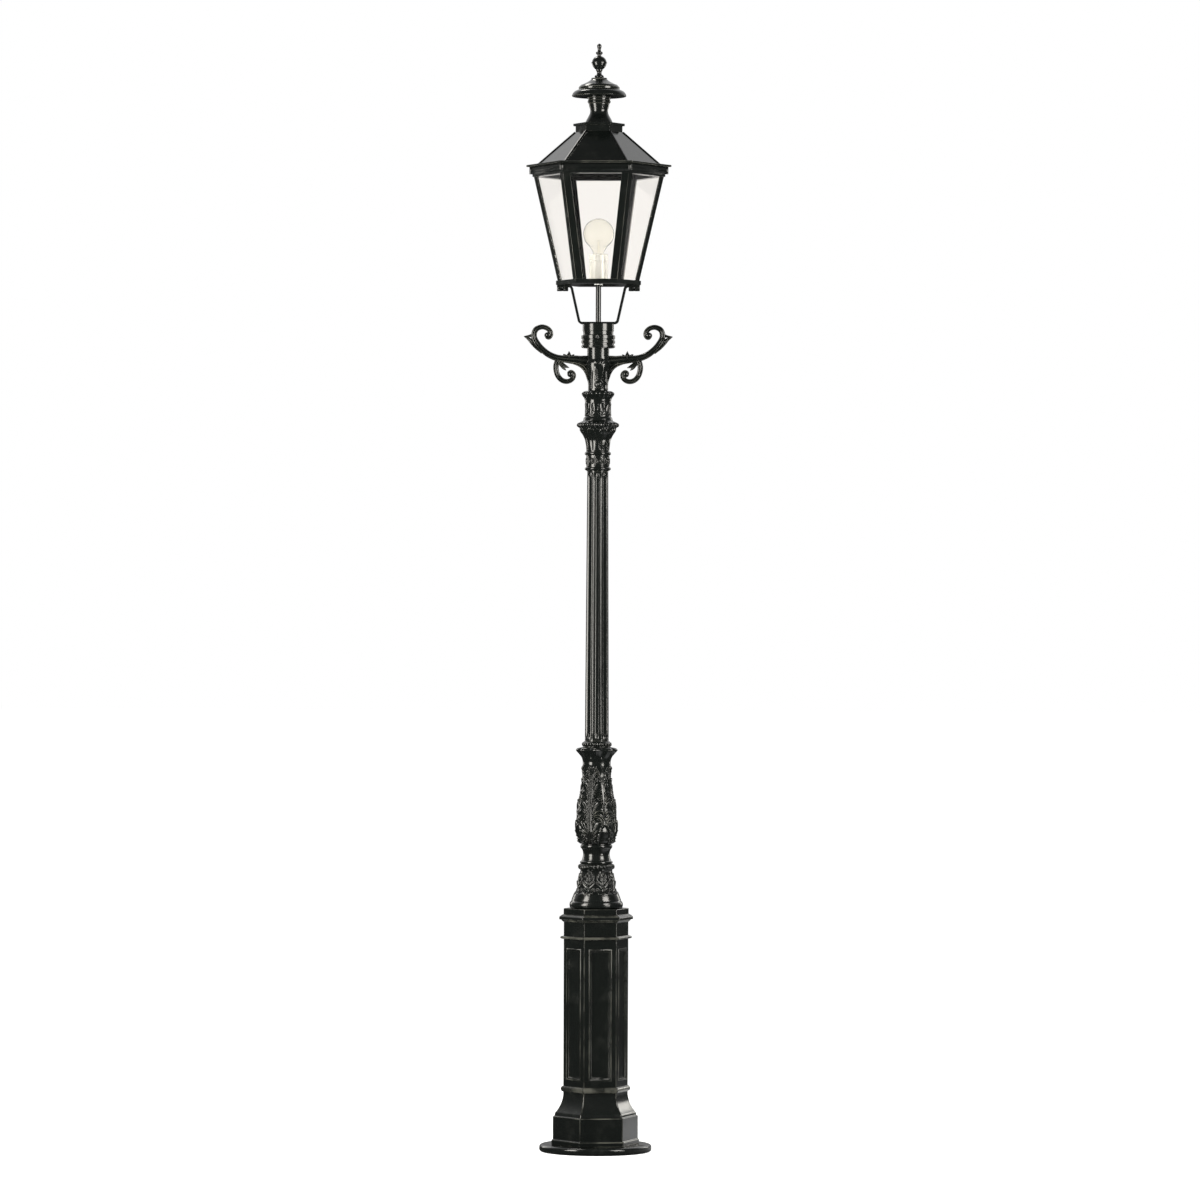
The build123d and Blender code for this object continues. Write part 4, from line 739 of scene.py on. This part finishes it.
def rectangle(face, half, low, high, out):
    """Corners of an upright rectangle on one of the pedestal's faces, at a distance from the axis."""
    angle = pedestal_turn + math.pi / 6 + face * math.pi / 3
    normal = Vector((math.cos(angle), math.sin(angle), 0))
    along = Vector((-normal.y, normal.x, 0))
    return [normal * out + along * side * half + Vector((0, 0, height))
            for side, height in ((-1, low), (1, low), (1, high), (-1, high))]


def outline_bands(skin, outline):
    """Bands along an outline, with rubbed paint and a painted highlight where it stands out."""
    befores = [outline[0], *outline]
    afters = [*outline[2:], outline[-1]]
    for before, start, end, after in zip(befores, outline, outline[1:], afters):
        bulge = 0.0
        for first, middle, last in ((before, start, end), (start, end, after)):
            come = middle - first
            leave = last - middle
            bulge = max(bulge, come.x * leave.y - come.y * leave.x)
        # Short edges that stand out get rubbed paint and a painted highlight
        worn_and_highlit = edge_wear_and_highlight_share if bulge > least_bulge and (end - start).length < short_edge else 0.0
        lower = hexagon_ring(start.x, start.y, min(corner_ease, start.x / 4))
        upper = hexagon_ring(end.x, end.y, min(corner_ease, end.x / 4))
        skin.band(lower, upper, worn_and_highlit, corner_wear_and_highlight_share)


def wall_corners(skin, half, low, high, worn_and_highlit):
    """The six eased corners of an upright wall, whose flats are left for panels."""
    skin.band(hexagon_ring(half, low, corner_ease), hexagon_ring(half, high, corner_ease), 0, worn_and_highlit, False)


def build_pedestal():
    """Plinth, panelled body, cornice and deck, hollow behind the door's opening."""
    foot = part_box("pedestal")[0].z / mm
    skin = Skin()
    outlines = (
        [
            *eased((69.5, 0), (100.5, 0), (100.5, 11.5), (97.5, 14), (97.5, 73), (94, 74.6), (92.7, 82),
                   radius=1.6),
            *arc((92.7, 82), (80.7, 102.2), (body_half, 129)),
            Vector((body_half, 136)),
            *swell((body_half, 137), (body_half, 152), 6.0),
            Vector((body_half, body_low)),
        ],
        [
            Vector((body_half, body_high)),
            *eased((body_half, body_high), (79, 534), (82, 535.6), (82, 539.4), (79, 541), (body_half, 542),
                   radius=1.2),
            Vector((body_half, 577)),
            *smooth((body_half, 577), (78, 580.5), (80, 583.5), step=1),
            *eased((80, 583.5), (84.6, 584.3), (84.6, 590.7), radius=1.2),
            *smooth((84.6, 590.7), (81.5, 594), (77, 597), (74.6, 598), step=1),
            *eased((74.6, 598), (74.6, 613), (bore * 0.9, 613), radius=1.4),
        ],
        corners((20, deck_under), (inner_half, deck_under)),
        corners((inner_half, body_low), (inner_half, 129), (88.5, 82), (88.5, 14), (69.5, 14), (69.5, 0)),
    )
    for outline in outlines:
        outline_bands(skin, outline)
    wall_corners(skin, body_half, body_low, body_high, corner_wear_and_highlight_share)
    wall_corners(skin, inner_half, body_low, deck_under, 0)
    flat = (body_half - corner_ease) * math.tan(math.pi / 6)
    inner_flat = (inner_half - corner_ease) * math.tan(math.pi / 6)
    for face in range(6):
        outside = rectangle(face, flat, body_low, body_high, body_half)
        inside = rectangle(face, inner_flat, body_low, deck_under, inner_half)
        if face == rear_face:
            mouth = rectangle(face, *door_opening, body_half)
            back = rectangle(face, *door_opening, inner_half)
            skin.frame(outside, mouth)
            skin.frame(mouth, back)
            skin.frame(back, inside)
            continue
        skin.face(inside)
        rim = rectangle(face, panel_half, panel_low, panel_high, body_half)
        skin.frame(outside, rim)
        for inset, raised, worn_and_highlit in panel_moulding:
            next_rim = rectangle(face, panel_half - inset, panel_low + inset, panel_high - inset,
                                 body_half + raised)
            skin.frame(rim, next_rim, worn_and_highlit)
            rim = next_rim
        skin.face(rim)
    bmesh.ops.translate(skin.work, vec=(0, 0, foot * mm), verts=skin.work.verts)
    bmesh.ops.remove_doubles(skin.work, verts=skin.work.verts, dist=skin_weld)
    bmesh.ops.recalc_face_normals(skin.work, faces=skin.work.faces)
    piece = piece_from("pedestal.moulded", skin.work, finishes["plain_cast_paint"], 50)
    weigh_normals(piece)
    stand_for(piece, "pedestal")


def swept(name, stations, section, material, side):
    """A bar of a given section along (x, z, half width, half depth) stations in the plane of X and Z."""
    line = smooth(*stations)
    work = bmesh.new()
    rings = []
    for index, station in enumerate(line):
        before = line[max(index - 1, 0)]
        after = line[min(index + 1, len(line) - 1)]
        way = Vector((after[0] - before[0], after[1] - before[1])).normalized()
        ring = []
        for out, deep in section:
            x = station[0] - way.y * out * station[2]
            z = station[1] + way.x * out * station[2]
            ring.append(work.verts.new((side * x * mm, deep * station[3] * mm, z * mm)))
        rings.append(ring)
    count = len(section)
    for lower, upper in zip(rings, rings[1:]):
        for place in range(count):
            after = (place + 1) % count
            work.faces.new((lower[place], lower[after], upper[after], upper[place]))
    for ring in (rings[0], rings[-1]):
        work.faces.new(ring)
    bmesh.ops.recalc_face_normals(work, faces=work.faces)
    return piece_from(name, work, material, 55)


def join_pieces(name, pieces):
    """One piece from several meshes."""
    work = bmesh.new()
    for piece in pieces:
        work.from_mesh(piece.data)
    material = pieces[0].data.materials[0]
    for piece in pieces:
        bpy.data.objects.remove(piece)
    return piece_from(name, work, material, 55)


def knob(name, place, size, material, rings=20):
    """A rounded boss: place and half sizes in millimetres."""
    work = bmesh.new()
    bmesh.ops.create_uvsphere(work, u_segments=2 * rings, v_segments=rings, radius=1)
    placing = Matrix.LocRotScale(Vector(place) * mm, None, Vector(size) * mm)
    bmesh.ops.transform(work, matrix=placing, verts=work.verts)
    return piece_from(name, work, material)


# Scroll arms: (distance from the axis, height, half width, half depth) along each bar
rib_half = [
    (-1.0, 0.0), (-0.94, 0.42), (-0.76, 0.74), (-0.54, 0.80), (-0.36, 0.60), (-0.14, 0.90), (0.10, 1.0),
    (0.36, 0.92), (0.54, 0.64), (0.70, 0.78), (0.90, 0.52), (1.0, 0.0),
]
rib_section = rib_half + [(out, -deep) for out, deep in rib_half[-2:0:-1]]
upper_bar = [
    (20, 2053, 15.5, 13), (36, 2054, 14.5, 12.5), (47, 2055, 13.2, 11.5), (60, 2057, 12, 10.5),
    (84, 2059, 9.8, 9.5), (108, 2062.5, 8.8, 9), (130, 2072, 8.4, 8.6), (149, 2088, 8, 8.4),
    (162.5, 2106, 7.8, 8.2), (167.2, 2121, 7.4, 8), (162, 2136, 7.1, 7.8), (148, 2142.4, 6.6, 7.6),
    (134, 2139.6, 6.4, 7.4), (125, 2131, 6.4, 7.4), (124, 2121.5, 6.6, 7.4), (129, 2115.5, 6.2, 7),
    (134.6, 2117.4, 4.6, 6), (133, 2121.5, 2.2, 5),
]
lower_bar = [
    (96, 2064, 6, 6), (104.5, 2056, 7, 7), (109, 2045, 7.2, 7.6), (109.3, 2031, 7.2, 7.6),
    (105, 2016.5, 7, 7.4), (96, 2005.6, 6.8, 7.2), (84, 2001, 6.6, 7), (72.5, 2003.4, 6.4, 7),
    (65, 2011, 6.4, 7), (64.6, 2020, 6.6, 7), (70.5, 2025.5, 6, 6.6), (77, 2023, 4, 5.6),
    (76, 2018.5, 2, 4.6),
]
arm_arch = [(23.5, 1996, 2, 9), (25.5, 2010, 4.5, 12), (29, 2025, 6.5, 13), (36, 2037.5, 7.5, 12.5),
            (49, 2045.5, 6, 11), (66, 2049, 3, 8)]
outer_leaf = [(146, 2075, 3, 5), (160, 2090, 6, 6.5), (171, 2102.5, 6.6, 6.4), (181.5, 2111.6, 4.2, 4.4),
              (193.4, 2117.8, 0.7, 1)]
beak_leaf = [(160, 2121, 4, 5), (170, 2120.6, 4.8, 6), (180, 2118.8, 3.2, 4.4), (193.4, 2117.8, 0.7, 1)]
bud = [(76, 2062, 9, 7), (76, 2069, 6.6, 6.4), (75.6, 2074, 3.6, 4.6), (76, 2080, 0.5, 0.8)]
bud_left = [(70, 2062, 5, 6), (66, 2068, 3.4, 4.6), (62, 2071.6, 0.5, 0.8)]
bud_right = [(82, 2063, 5, 6), (87, 2069, 3.4, 4.6), (91.5, 2072, 0.5, 0.8)]
inner_leaf = [(102, 2052, 6, 6), (93, 2045, 5.6, 6), (84, 2040, 4, 5), (75, 2036.5, 0.6, 1)]
inner_lobe = [(99, 2048, 5, 5.6), (90, 2036, 3.8, 5), (83, 2029.5, 0.6, 1)]


def build_arms():
    """Bars, leaves and scroll eyes, joined to one piece an arm."""
    paint = finishes["cast_paint"]
    bars = (upper_bar, arm_arch, lower_bar, outer_leaf, beak_leaf, bud, bud_left, bud_right, inner_leaf,
            inner_lobe)
    scroll_eyes = (((131, 2121), (9.4, 10, 8.2)), ((71.5, 2020), (9, 9.6, 8.4)))
    for node, side in (("scroll_arm_right", 1), ("scroll_arm_left", -1)):
        pieces = [swept(node + ".bar", stations, rib_section, paint, side) for stations in bars]
        for (x, z), size in scroll_eyes:
            pieces.append(knob(node + ".eye", (side * x, 0, z), size, paint))
        stand_for(join_pieces(node + ".scrolled", pieces), node)


# Geometry Nodes: a tree with named inputs, made a plain mesh at once
def new_tree(name, inputs):
    """A geometry tree, the socket that builds it, and its named inputs."""
    tree = bpy.data.node_groups.new(name, "GeometryNodeTree")
    tree.interface.new_socket("Geometry", in_out="OUTPUT", socket_type="NodeSocketGeometry")
    for label, kind in inputs.items():
        tree.interface.new_socket(label, in_out="INPUT", socket_type=kind)
    entry = tree.nodes.new("NodeGroupInput")
    builder = Socket(tree)
    return tree, builder, {label: Socket(tree, entry.outputs[label]) for label in inputs}


def end_tree(builder, geometry, material):
    """Ends a tree in plain, painted geometry."""
    plain = builder.node("GeometryNodeRealizeInstances", {"Geometry": geometry})
    painted = builder.node("GeometryNodeSetMaterial", {"Geometry": plain, "Material": material})
    builder.node("NodeGroupOutput", {0: painted})


def piece_by_tree(name, tree, values, material, smooth_angle=40):
    """Runs a tree once and keeps its result as a plain mesh."""
    piece = add_object(name, bpy.data.meshes.new(name + "_seed"))
    modifier = piece.modifiers.new("tree", "NODES")
    modifier.node_group = tree
    for item in tree.interface.items_tree:
        if item.in_out == "INPUT" and item.name in values:
            modifier[item.identifier] = values[item.name]
    evaluated = piece.evaluated_get(bpy.context.evaluated_depsgraph_get())
    mesh = bpy.data.meshes.new_from_object(evaluated)
    piece.modifiers.remove(modifier)
    piece.data = mesh
    finish_mesh(mesh, material, smooth_angle)
    return piece


def flute_tree(material):
    """A tapered column with stopped flutes."""
    lengths = ("Foot", "Length", "Foot radius", "Top radius", "Flute depth", "Plain end", "Stop")
    inputs = {label: "NodeSocketFloat" for label in lengths}
    tree, builder, size = new_tree("fluted_column", {**inputs, "Flutes": "NodeSocketInt"})
    column = builder.node("GeometryNodeMeshCylinder", {
        "Vertices": size["Flutes"] * 14, "Side Segments": 160, "Radius": 1.0, "Depth": size["Length"],
    })
    spot = builder.node("GeometryNodeInputPosition")
    x, y, z = (builder.node("ShaderNodeSeparateXYZ", {0: spot}, out=axis) for axis in range(3))
    up = z + size["Length"] * 0.5
    turn = builder.math("ARCTAN2", y, x)
    phase = builder.math("FRACT", turn * size["Flutes"] * (0.5 / math.pi) + 100.0)
    side = builder.math("ABSOLUTE", phase * 2.0 - 1.0) * 1.22
    hollow = builder.math("MAXIMUM", 1.0 - side * side, 0.0)
    end = builder.math("MINIMUM", up, size["Length"] - up)
    past_end = builder.math("MAXIMUM", end - size["Plain end"], 0.0)
    stop = builder.math("MINIMUM", builder.math("DIVIDE", past_end, size["Stop"]), 1.0)
    fade = builder.math("SQRT", stop * (2.0 - stop))
    share = builder.math("DIVIDE", up, size["Length"])
    taper = size["Foot radius"] + (size["Top radius"] - size["Foot radius"]) * share
    radius = taper - size["Flute depth"] * hollow * fade
    rim = builder.math("SQRT", x * x + y * y)
    out_x, out_y = (builder.math("DIVIDE", way, rim) * radius for way in (x, y))
    placed = builder.node("ShaderNodeCombineXYZ", {0: out_x, 1: out_y, 2: up + size["Foot"]})
    shaped = builder.node("GeometryNodeSetPosition", {"Geometry": column, "Position": placed})
    end_tree(builder, shaped, material)
    return tree


def build_shaft():
    """The fluted shaft between baluster and capital."""
    low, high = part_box("fluted_shaft")
    sizes = {
        "Foot": low.z, "Length": high.z - low.z, "Foot radius": 31 * mm, "Top radius": 27.3 * mm,
        "Flutes": 16, "Flute depth": 2.6 * mm, "Plain end": 6 * mm, "Stop": 16 * mm,
    }
    paint = finishes["fluted_paint"]
    shaft = piece_by_tree("fluted_shaft.cast", flute_tree(paint), sizes, paint, 35)
    stand_for(shaft, "fluted_shaft")


def copies_tree(material):
    """Copies of one shape in a ring about the axis, each turned to face outwards."""
    tree, builder, size = new_tree("ring_of_copies", {
        "Copy": "NodeSocketObject", "Count": "NodeSocketInt", "Radius": "NodeSocketFloat",
        "Height": "NodeSocketFloat", "Turn": "NodeSocketFloat",
    })
    index = builder.node("GeometryNodeInputIndex")
    turn = builder.math("DIVIDE", index * (2 * math.pi), size["Count"])
    x, y = (builder.math(way, turn) * size["Radius"] for way in ("COSINE", "SINE"))
    spot = builder.node("ShaderNodeCombineXYZ", {0: x, 1: y})
    ring = builder.node("GeometryNodePoints", {"Count": size["Count"], "Position": spot})
    shape = builder.node("GeometryNodeObjectInfo", {"Object": size["Copy"]}, out="Geometry")
    along_axis = (turn, size["Height"], size["Turn"])
    facing, lift, spin = (builder.node("ShaderNodeCombineXYZ", {2: z}) for z in along_axis)
    copies = {"Points": ring, "Instance": shape, "Rotation": facing}
    placed = builder.node("GeometryNodeInstanceOnPoints", copies)
    spun = builder.node("GeometryNodeTransform", {"Geometry": placed, "Translation": lift, "Rotation": spin})
    end_tree(builder, spun, material)
    return tree


def ring_of(name, pattern, count, radius, height, turn):
    """Copies of a pattern in a ring, as one plain mesh. The pattern is left for the next ring."""
    material = pattern.data.materials[0]
    values = {"Copy": pattern, "Count": count, "Radius": radius * mm, "Height": height * mm, "Turn": turn}
    return piece_by_tree(name, copies_tree(material), values, material)


def spun_solid(name, outline, sides, material):
    """A small turned pattern, from points that begin and end on the axis."""
    return turned(name, corners(*outline), material, sides, 30, closed=False)


def build_bolts():
    """Two bolts under each foot of the yoke: hexagon head below, then washer and shank."""
    low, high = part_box("yoke_bolts")
    flats = 13
    head = 8
    washer = 2
    washer_radius = 7
    shank_radius = 4
    top = (high.z - low.z) / mm - head
    reach = flats / 2 / math.cos(math.radians(30))
    ease = flats * 0.06
    stretches = (
        (6, (0, -head), (reach - ease, -head), (reach, -head + ease * 0.8), (reach, 0), (0, 0)),
        (40, (0, 0), (washer_radius, 0), (washer_radius, washer * 0.8), (washer_radius * 0.94, washer),
         (0, washer)),
        (32, (0, washer), (shank_radius, washer), (shank_radius, top), (0, top)),
    )
    paint = finishes[slot_of["yoke_bolts"]]
    solids = [spun_solid("bolt_stretch", outline, sides, paint) for sides, *outline in stretches]
    pattern = join_pieces("bolt_pattern", solids)
    seat = low.z / mm + head
    rings = [ring_of("yoke_bolt_ring", pattern, 2, radius, seat, lantern_turn) for radius in (86, 100.5)]
    bpy.data.objects.remove(pattern)
    stand_for(join_pieces("yoke_bolts.turned", rings), "yoke_bolts")


def build_set_screws():
    """Three screws with a hollow head and a chamfered end, pointing at the spigot."""
    low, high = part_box("collar_set_screws")
    head_radius = 43.8
    outline = [(0, -3), (2.4, -3), (2.4, 2.2), (3, 3), (3.7, 3), (4.5, 2.2), (4.5, 0), (4, 0), (4, -14.6),
               (3.4, -15), (0, -15)]
    pattern = spun_solid("screw_pattern", outline, 32, finishes[slot_of["collar_set_screws"]])
    pattern.data.transform(Matrix.Rotation(math.radians(90), 4, "Y"))
    height = (low.z + high.z) / 2 / mm
    screws = ring_of("collar_set_screws.turned", pattern, 3, head_radius, height, lantern_turn + front)
    bpy.data.objects.remove(pattern)
    stand_for(screws, "collar_set_screws")


def build_hips():
    """Six beaded strips down the roof's hips."""
    low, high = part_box("hip_strips")
    hip = ((hood_foot_radius, low.z / mm), (hood_top_radius, high.z / mm))
    round_section = [(math.cos(turn), math.sin(turn)) for turn in np.linspace(0, 2 * math.pi, 17)[:-1]]
    flat_section = [(-1.0, -1.0), (1.0, -1.0), (1.0, 1.0), (-1.0, 1.0)]
    bars = ((round_section, 2.0, 3.2, 0.4), (flat_section, 0.6, 5.0, -1.2))
    pieces = []
    for section, half_height, half_width, lift in bars:
        stations = [(radius + lift, height + lift * 0.4, half_height, half_width) for radius, height in hip]
        pieces.append(swept("hip_bar", stations, section, finishes["sheet_paint"], 1))
    pattern = join_pieces("hip_pattern", pieces)
    hips = ring_of("hip_strips.beaded", pattern, 6, 0, 0, lantern_turn)
    bpy.data.objects.remove(pattern)
    stand_for(hips, "hip_strips")


def build_upper_frame():
    """A six-sided moulded frame with a stud on each corner."""
    low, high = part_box("upper_frame")
    foot = low.z / mm
    top = high.z / mm - foot
    stud_circle = 176
    stud_foot = foot + 7
    paint = finishes["sheet_paint"]
    outline = eased((150, 0), (172.4, 0), (173, 1.2), (173, 6.4), (176.6, 7.2), (178, 8.6), (178, 11.6),
                    (176.4, 12.6), (176.4, 14.4), (178, 15.4), (178, 22), (176.8, 23), (176.8, top),
                    (150, top), radius=0.5)
    moulding = turned("frame_moulding", outline, paint, 6, 30, foot=foot, first=lantern_turn)
    stud_outline = [(0, 0), (4.4, 0), (5, 0.8), (5, 17), (4.2, 18), (0, 18)]
    pattern = spun_solid("stud_pattern", stud_outline, 32, paint)
    studs = ring_of("frame_studs", pattern, 6, stud_circle, stud_foot, lantern_turn)
    bpy.data.objects.remove(pattern)
    stand_for(join_pieces("upper_frame.moulded", [moulding, studs]), "upper_frame")


def plain_nodes():
    """Nodes that keep their own mesh take a detailed finish."""
    for node, piece in frame["nodes"].items():
        if not piece.hide_render:
            set_finish(piece.data, finishes[slot_of[node]])


def ray(tree, kind):
    """1 for the rays of a kind."""
    return tree.node("ShaderNodeLightPath", out=f"Is {kind} Ray")


def axis_of(tree, vector, axis):
    """One coordinate of a vector."""
    return tree.node("ShaderNodeSeparateXYZ", {0: vector}, out=axis)


def build_floor():
    """A pale floor that runs out to the white distance and keeps the post's soft shadow, with a painted pool
    of light beside the post where it is mirrored.
    """
    reach = 60.0
    glow_strength = 0.78
    mirror_least = 0.06
    mirror_lit = 0.84
    mesh = bpy.data.meshes.new("floor")
    ends = ((-reach, -reach, 0), (reach, -reach, 0), (reach, reach, 0), (-reach, reach, 0))
    mesh.from_pydata(ends, [], [(0, 1, 2, 3)])
    material, tree = new_finish("pale_floor")
    through_glass = ray(tree, "Transmission")
    mirrored = ray(tree, "Glossy") * (1.0 - through_glass)
    seen = tree.math("MAXIMUM", ray(tree, "Camera"), through_glass)
    shade = tree.mix(tree.noise(0.7, 2.0), (0.80, 0.80, 0.80, 1), (0.84, 0.84, 0.84, 1))
    matt = tree.node("ShaderNodeBsdfDiffuse", {"Color": shade})
    glow = tree.node("ShaderNodeEmission", {"Strength": seen * glow_strength})
    plain = tree.node("ShaderNodeAddShader", {0: matt, 1: glow})
    spot = tree.place()
    away = tree.node("ShaderNodeVectorMath", {0: spot}, out="Value", operation="LENGTH")
    # Painted light: as mirrored, the floor glows brighter near the post, to its right and behind it
    right_and_back = axis_of(tree, spot, "X") + axis_of(tree, spot, "Y")
    lit_side = tree.band(right_and_back, -0.1, 0.7) * (1.0 - tree.band(away, 0.7, 2.4))
    mirrored_painted_glow = tree.node("ShaderNodeEmission", {"Strength": mirror_least + mirror_lit * lit_side})
    surface = tree.node("ShaderNodeMixShader", {0: mirrored, 1: plain, 2: mirrored_painted_glow})
    tree.node("ShaderNodeOutputMaterial", {"Surface": surface})
    set_finish(mesh, material)
    add_object("floor", mesh)


def build_world():
    """White where it is seen, a bright back wall over a dim horizon where it is mirrored, and a plain sky."""
    sky = 0.30
    front_wall = 0.10
    horizon = 0.04
    world = bpy.data.worlds.new("studio")
    bpy.context.scene.world = world
    world.use_nodes = True
    world.node_tree.nodes.clear()
    tree = Socket(world.node_tree)
    looked_at = tree.math("MAXIMUM", ray(tree, "Camera"), ray(tree, "Transmission"))
    mirrored = ray(tree, "Glossy")
    direction = tree.node("ShaderNodeTexCoord", out="Generated")
    at_back = tree.band(axis_of(tree, direction, "Y"), 0.15, 0.75)
    above = tree.band(axis_of(tree, direction, "Z"), 0.02, 0.42)
    room = front_wall + (1 - front_wall) * at_back * (horizon + (1 - horizon) * above)
    light = tree.math("MAXIMUM", looked_at, mirrored * room)
    strength = tree.math("MAXIMUM", light, (1.0 - looked_at) * (1.0 - mirrored) * sky)
    backdrop = tree.node("ShaderNodeBackground", {"Color": (1, 1, 1, 1), "Strength": strength})
    tree.node("ShaderNodeOutputWorld", {"Surface": backdrop})


def add_softbox(name, place, aim, width, height, watts, colour):
    """A rectangular softbox that points at a spot on the post's axis."""
    lamp = bpy.data.lights.new(name, "AREA")
    lamp.shape = "RECTANGLE"
    lamp.size = width
    lamp.size_y = height
    lamp.energy = watts
    lamp.color = colour
    softbox = add_object(name, lamp)
    softbox.location = place
    softbox.rotation_euler = (Vector(aim) - Vector(place)).to_track_quat("-Z", "Y").to_euler()


def build_camera():
    """The photograph's camera."""
    data = bpy.data.cameras.new("photograph_view")
    data.angle = 2 * math.atan(view_span / 2 / view_distance)
    data.clip_end = 200
    camera = add_object("photograph_view", data)
    camera.location = (view_offset, -view_distance, view_height)
    camera.rotation_euler = (math.radians(90), -view_roll, 0)
    bpy.context.scene.camera = camera


eased_nodes = (
    "service_door", "lower_ring", "floor_plate", "roof_rim", "roof_hood", "crown_plate", "yoke",
    "post_top_collar", "base_plate", "chimney", "vent_cap", "finial", "stem_tube",
)
for eased_node in eased_nodes:
    eased_copy(eased_node, plain_ease)
for post_number in range(1, 7):
    eased_copy(f"corner_post_{post_number}", post_ease)

build_pedestal()
build_baluster()
build_capital()
build_hub()
build_arms()
build_shaft()
build_bolts()
build_set_screws()
build_upper_frame()
build_hips()
plain_nodes()
build_floor()
build_world()

# Softboxes: place, aim, width and height in metres, power in watts, colour
warm_white = (1.0, 0.97, 0.90)
paler_white = (1.0, 0.97, 0.91)
add_softbox("left_softbox", (-3.15, -2.46, 2.1), (0, 0, 2.1), 1.5, 3.25, 209, warm_white)
add_softbox("upper_right_softbox", (3.05, -2.60, 2.8), (0, 0, 2.8), 1.9, 1.8, 150, paler_white)
add_softbox("lower_right_softbox", (3.05, -2.60, 0.68), (0, 0, 0.68), 1.4, 0.55, 40, paler_white)
add_softbox("back_softbox", (-1.75, 2.25, 6.5), (0, 0, 2.6), 1.2, 1.2, 60, warm_white)
add_softbox("rear_left_softbox", (-3.0, 3.6, 2.0), (0, 0, 1.4), 0.7, 2.6, 24, warm_white)
add_softbox("rear_right_softbox", (3.0, 3.6, 2.0), (0, 0, 1.4), 0.7, 2.6, 24, warm_white)
build_camera()
bpy.context.scene.view_settings.view_transform = "Standard"
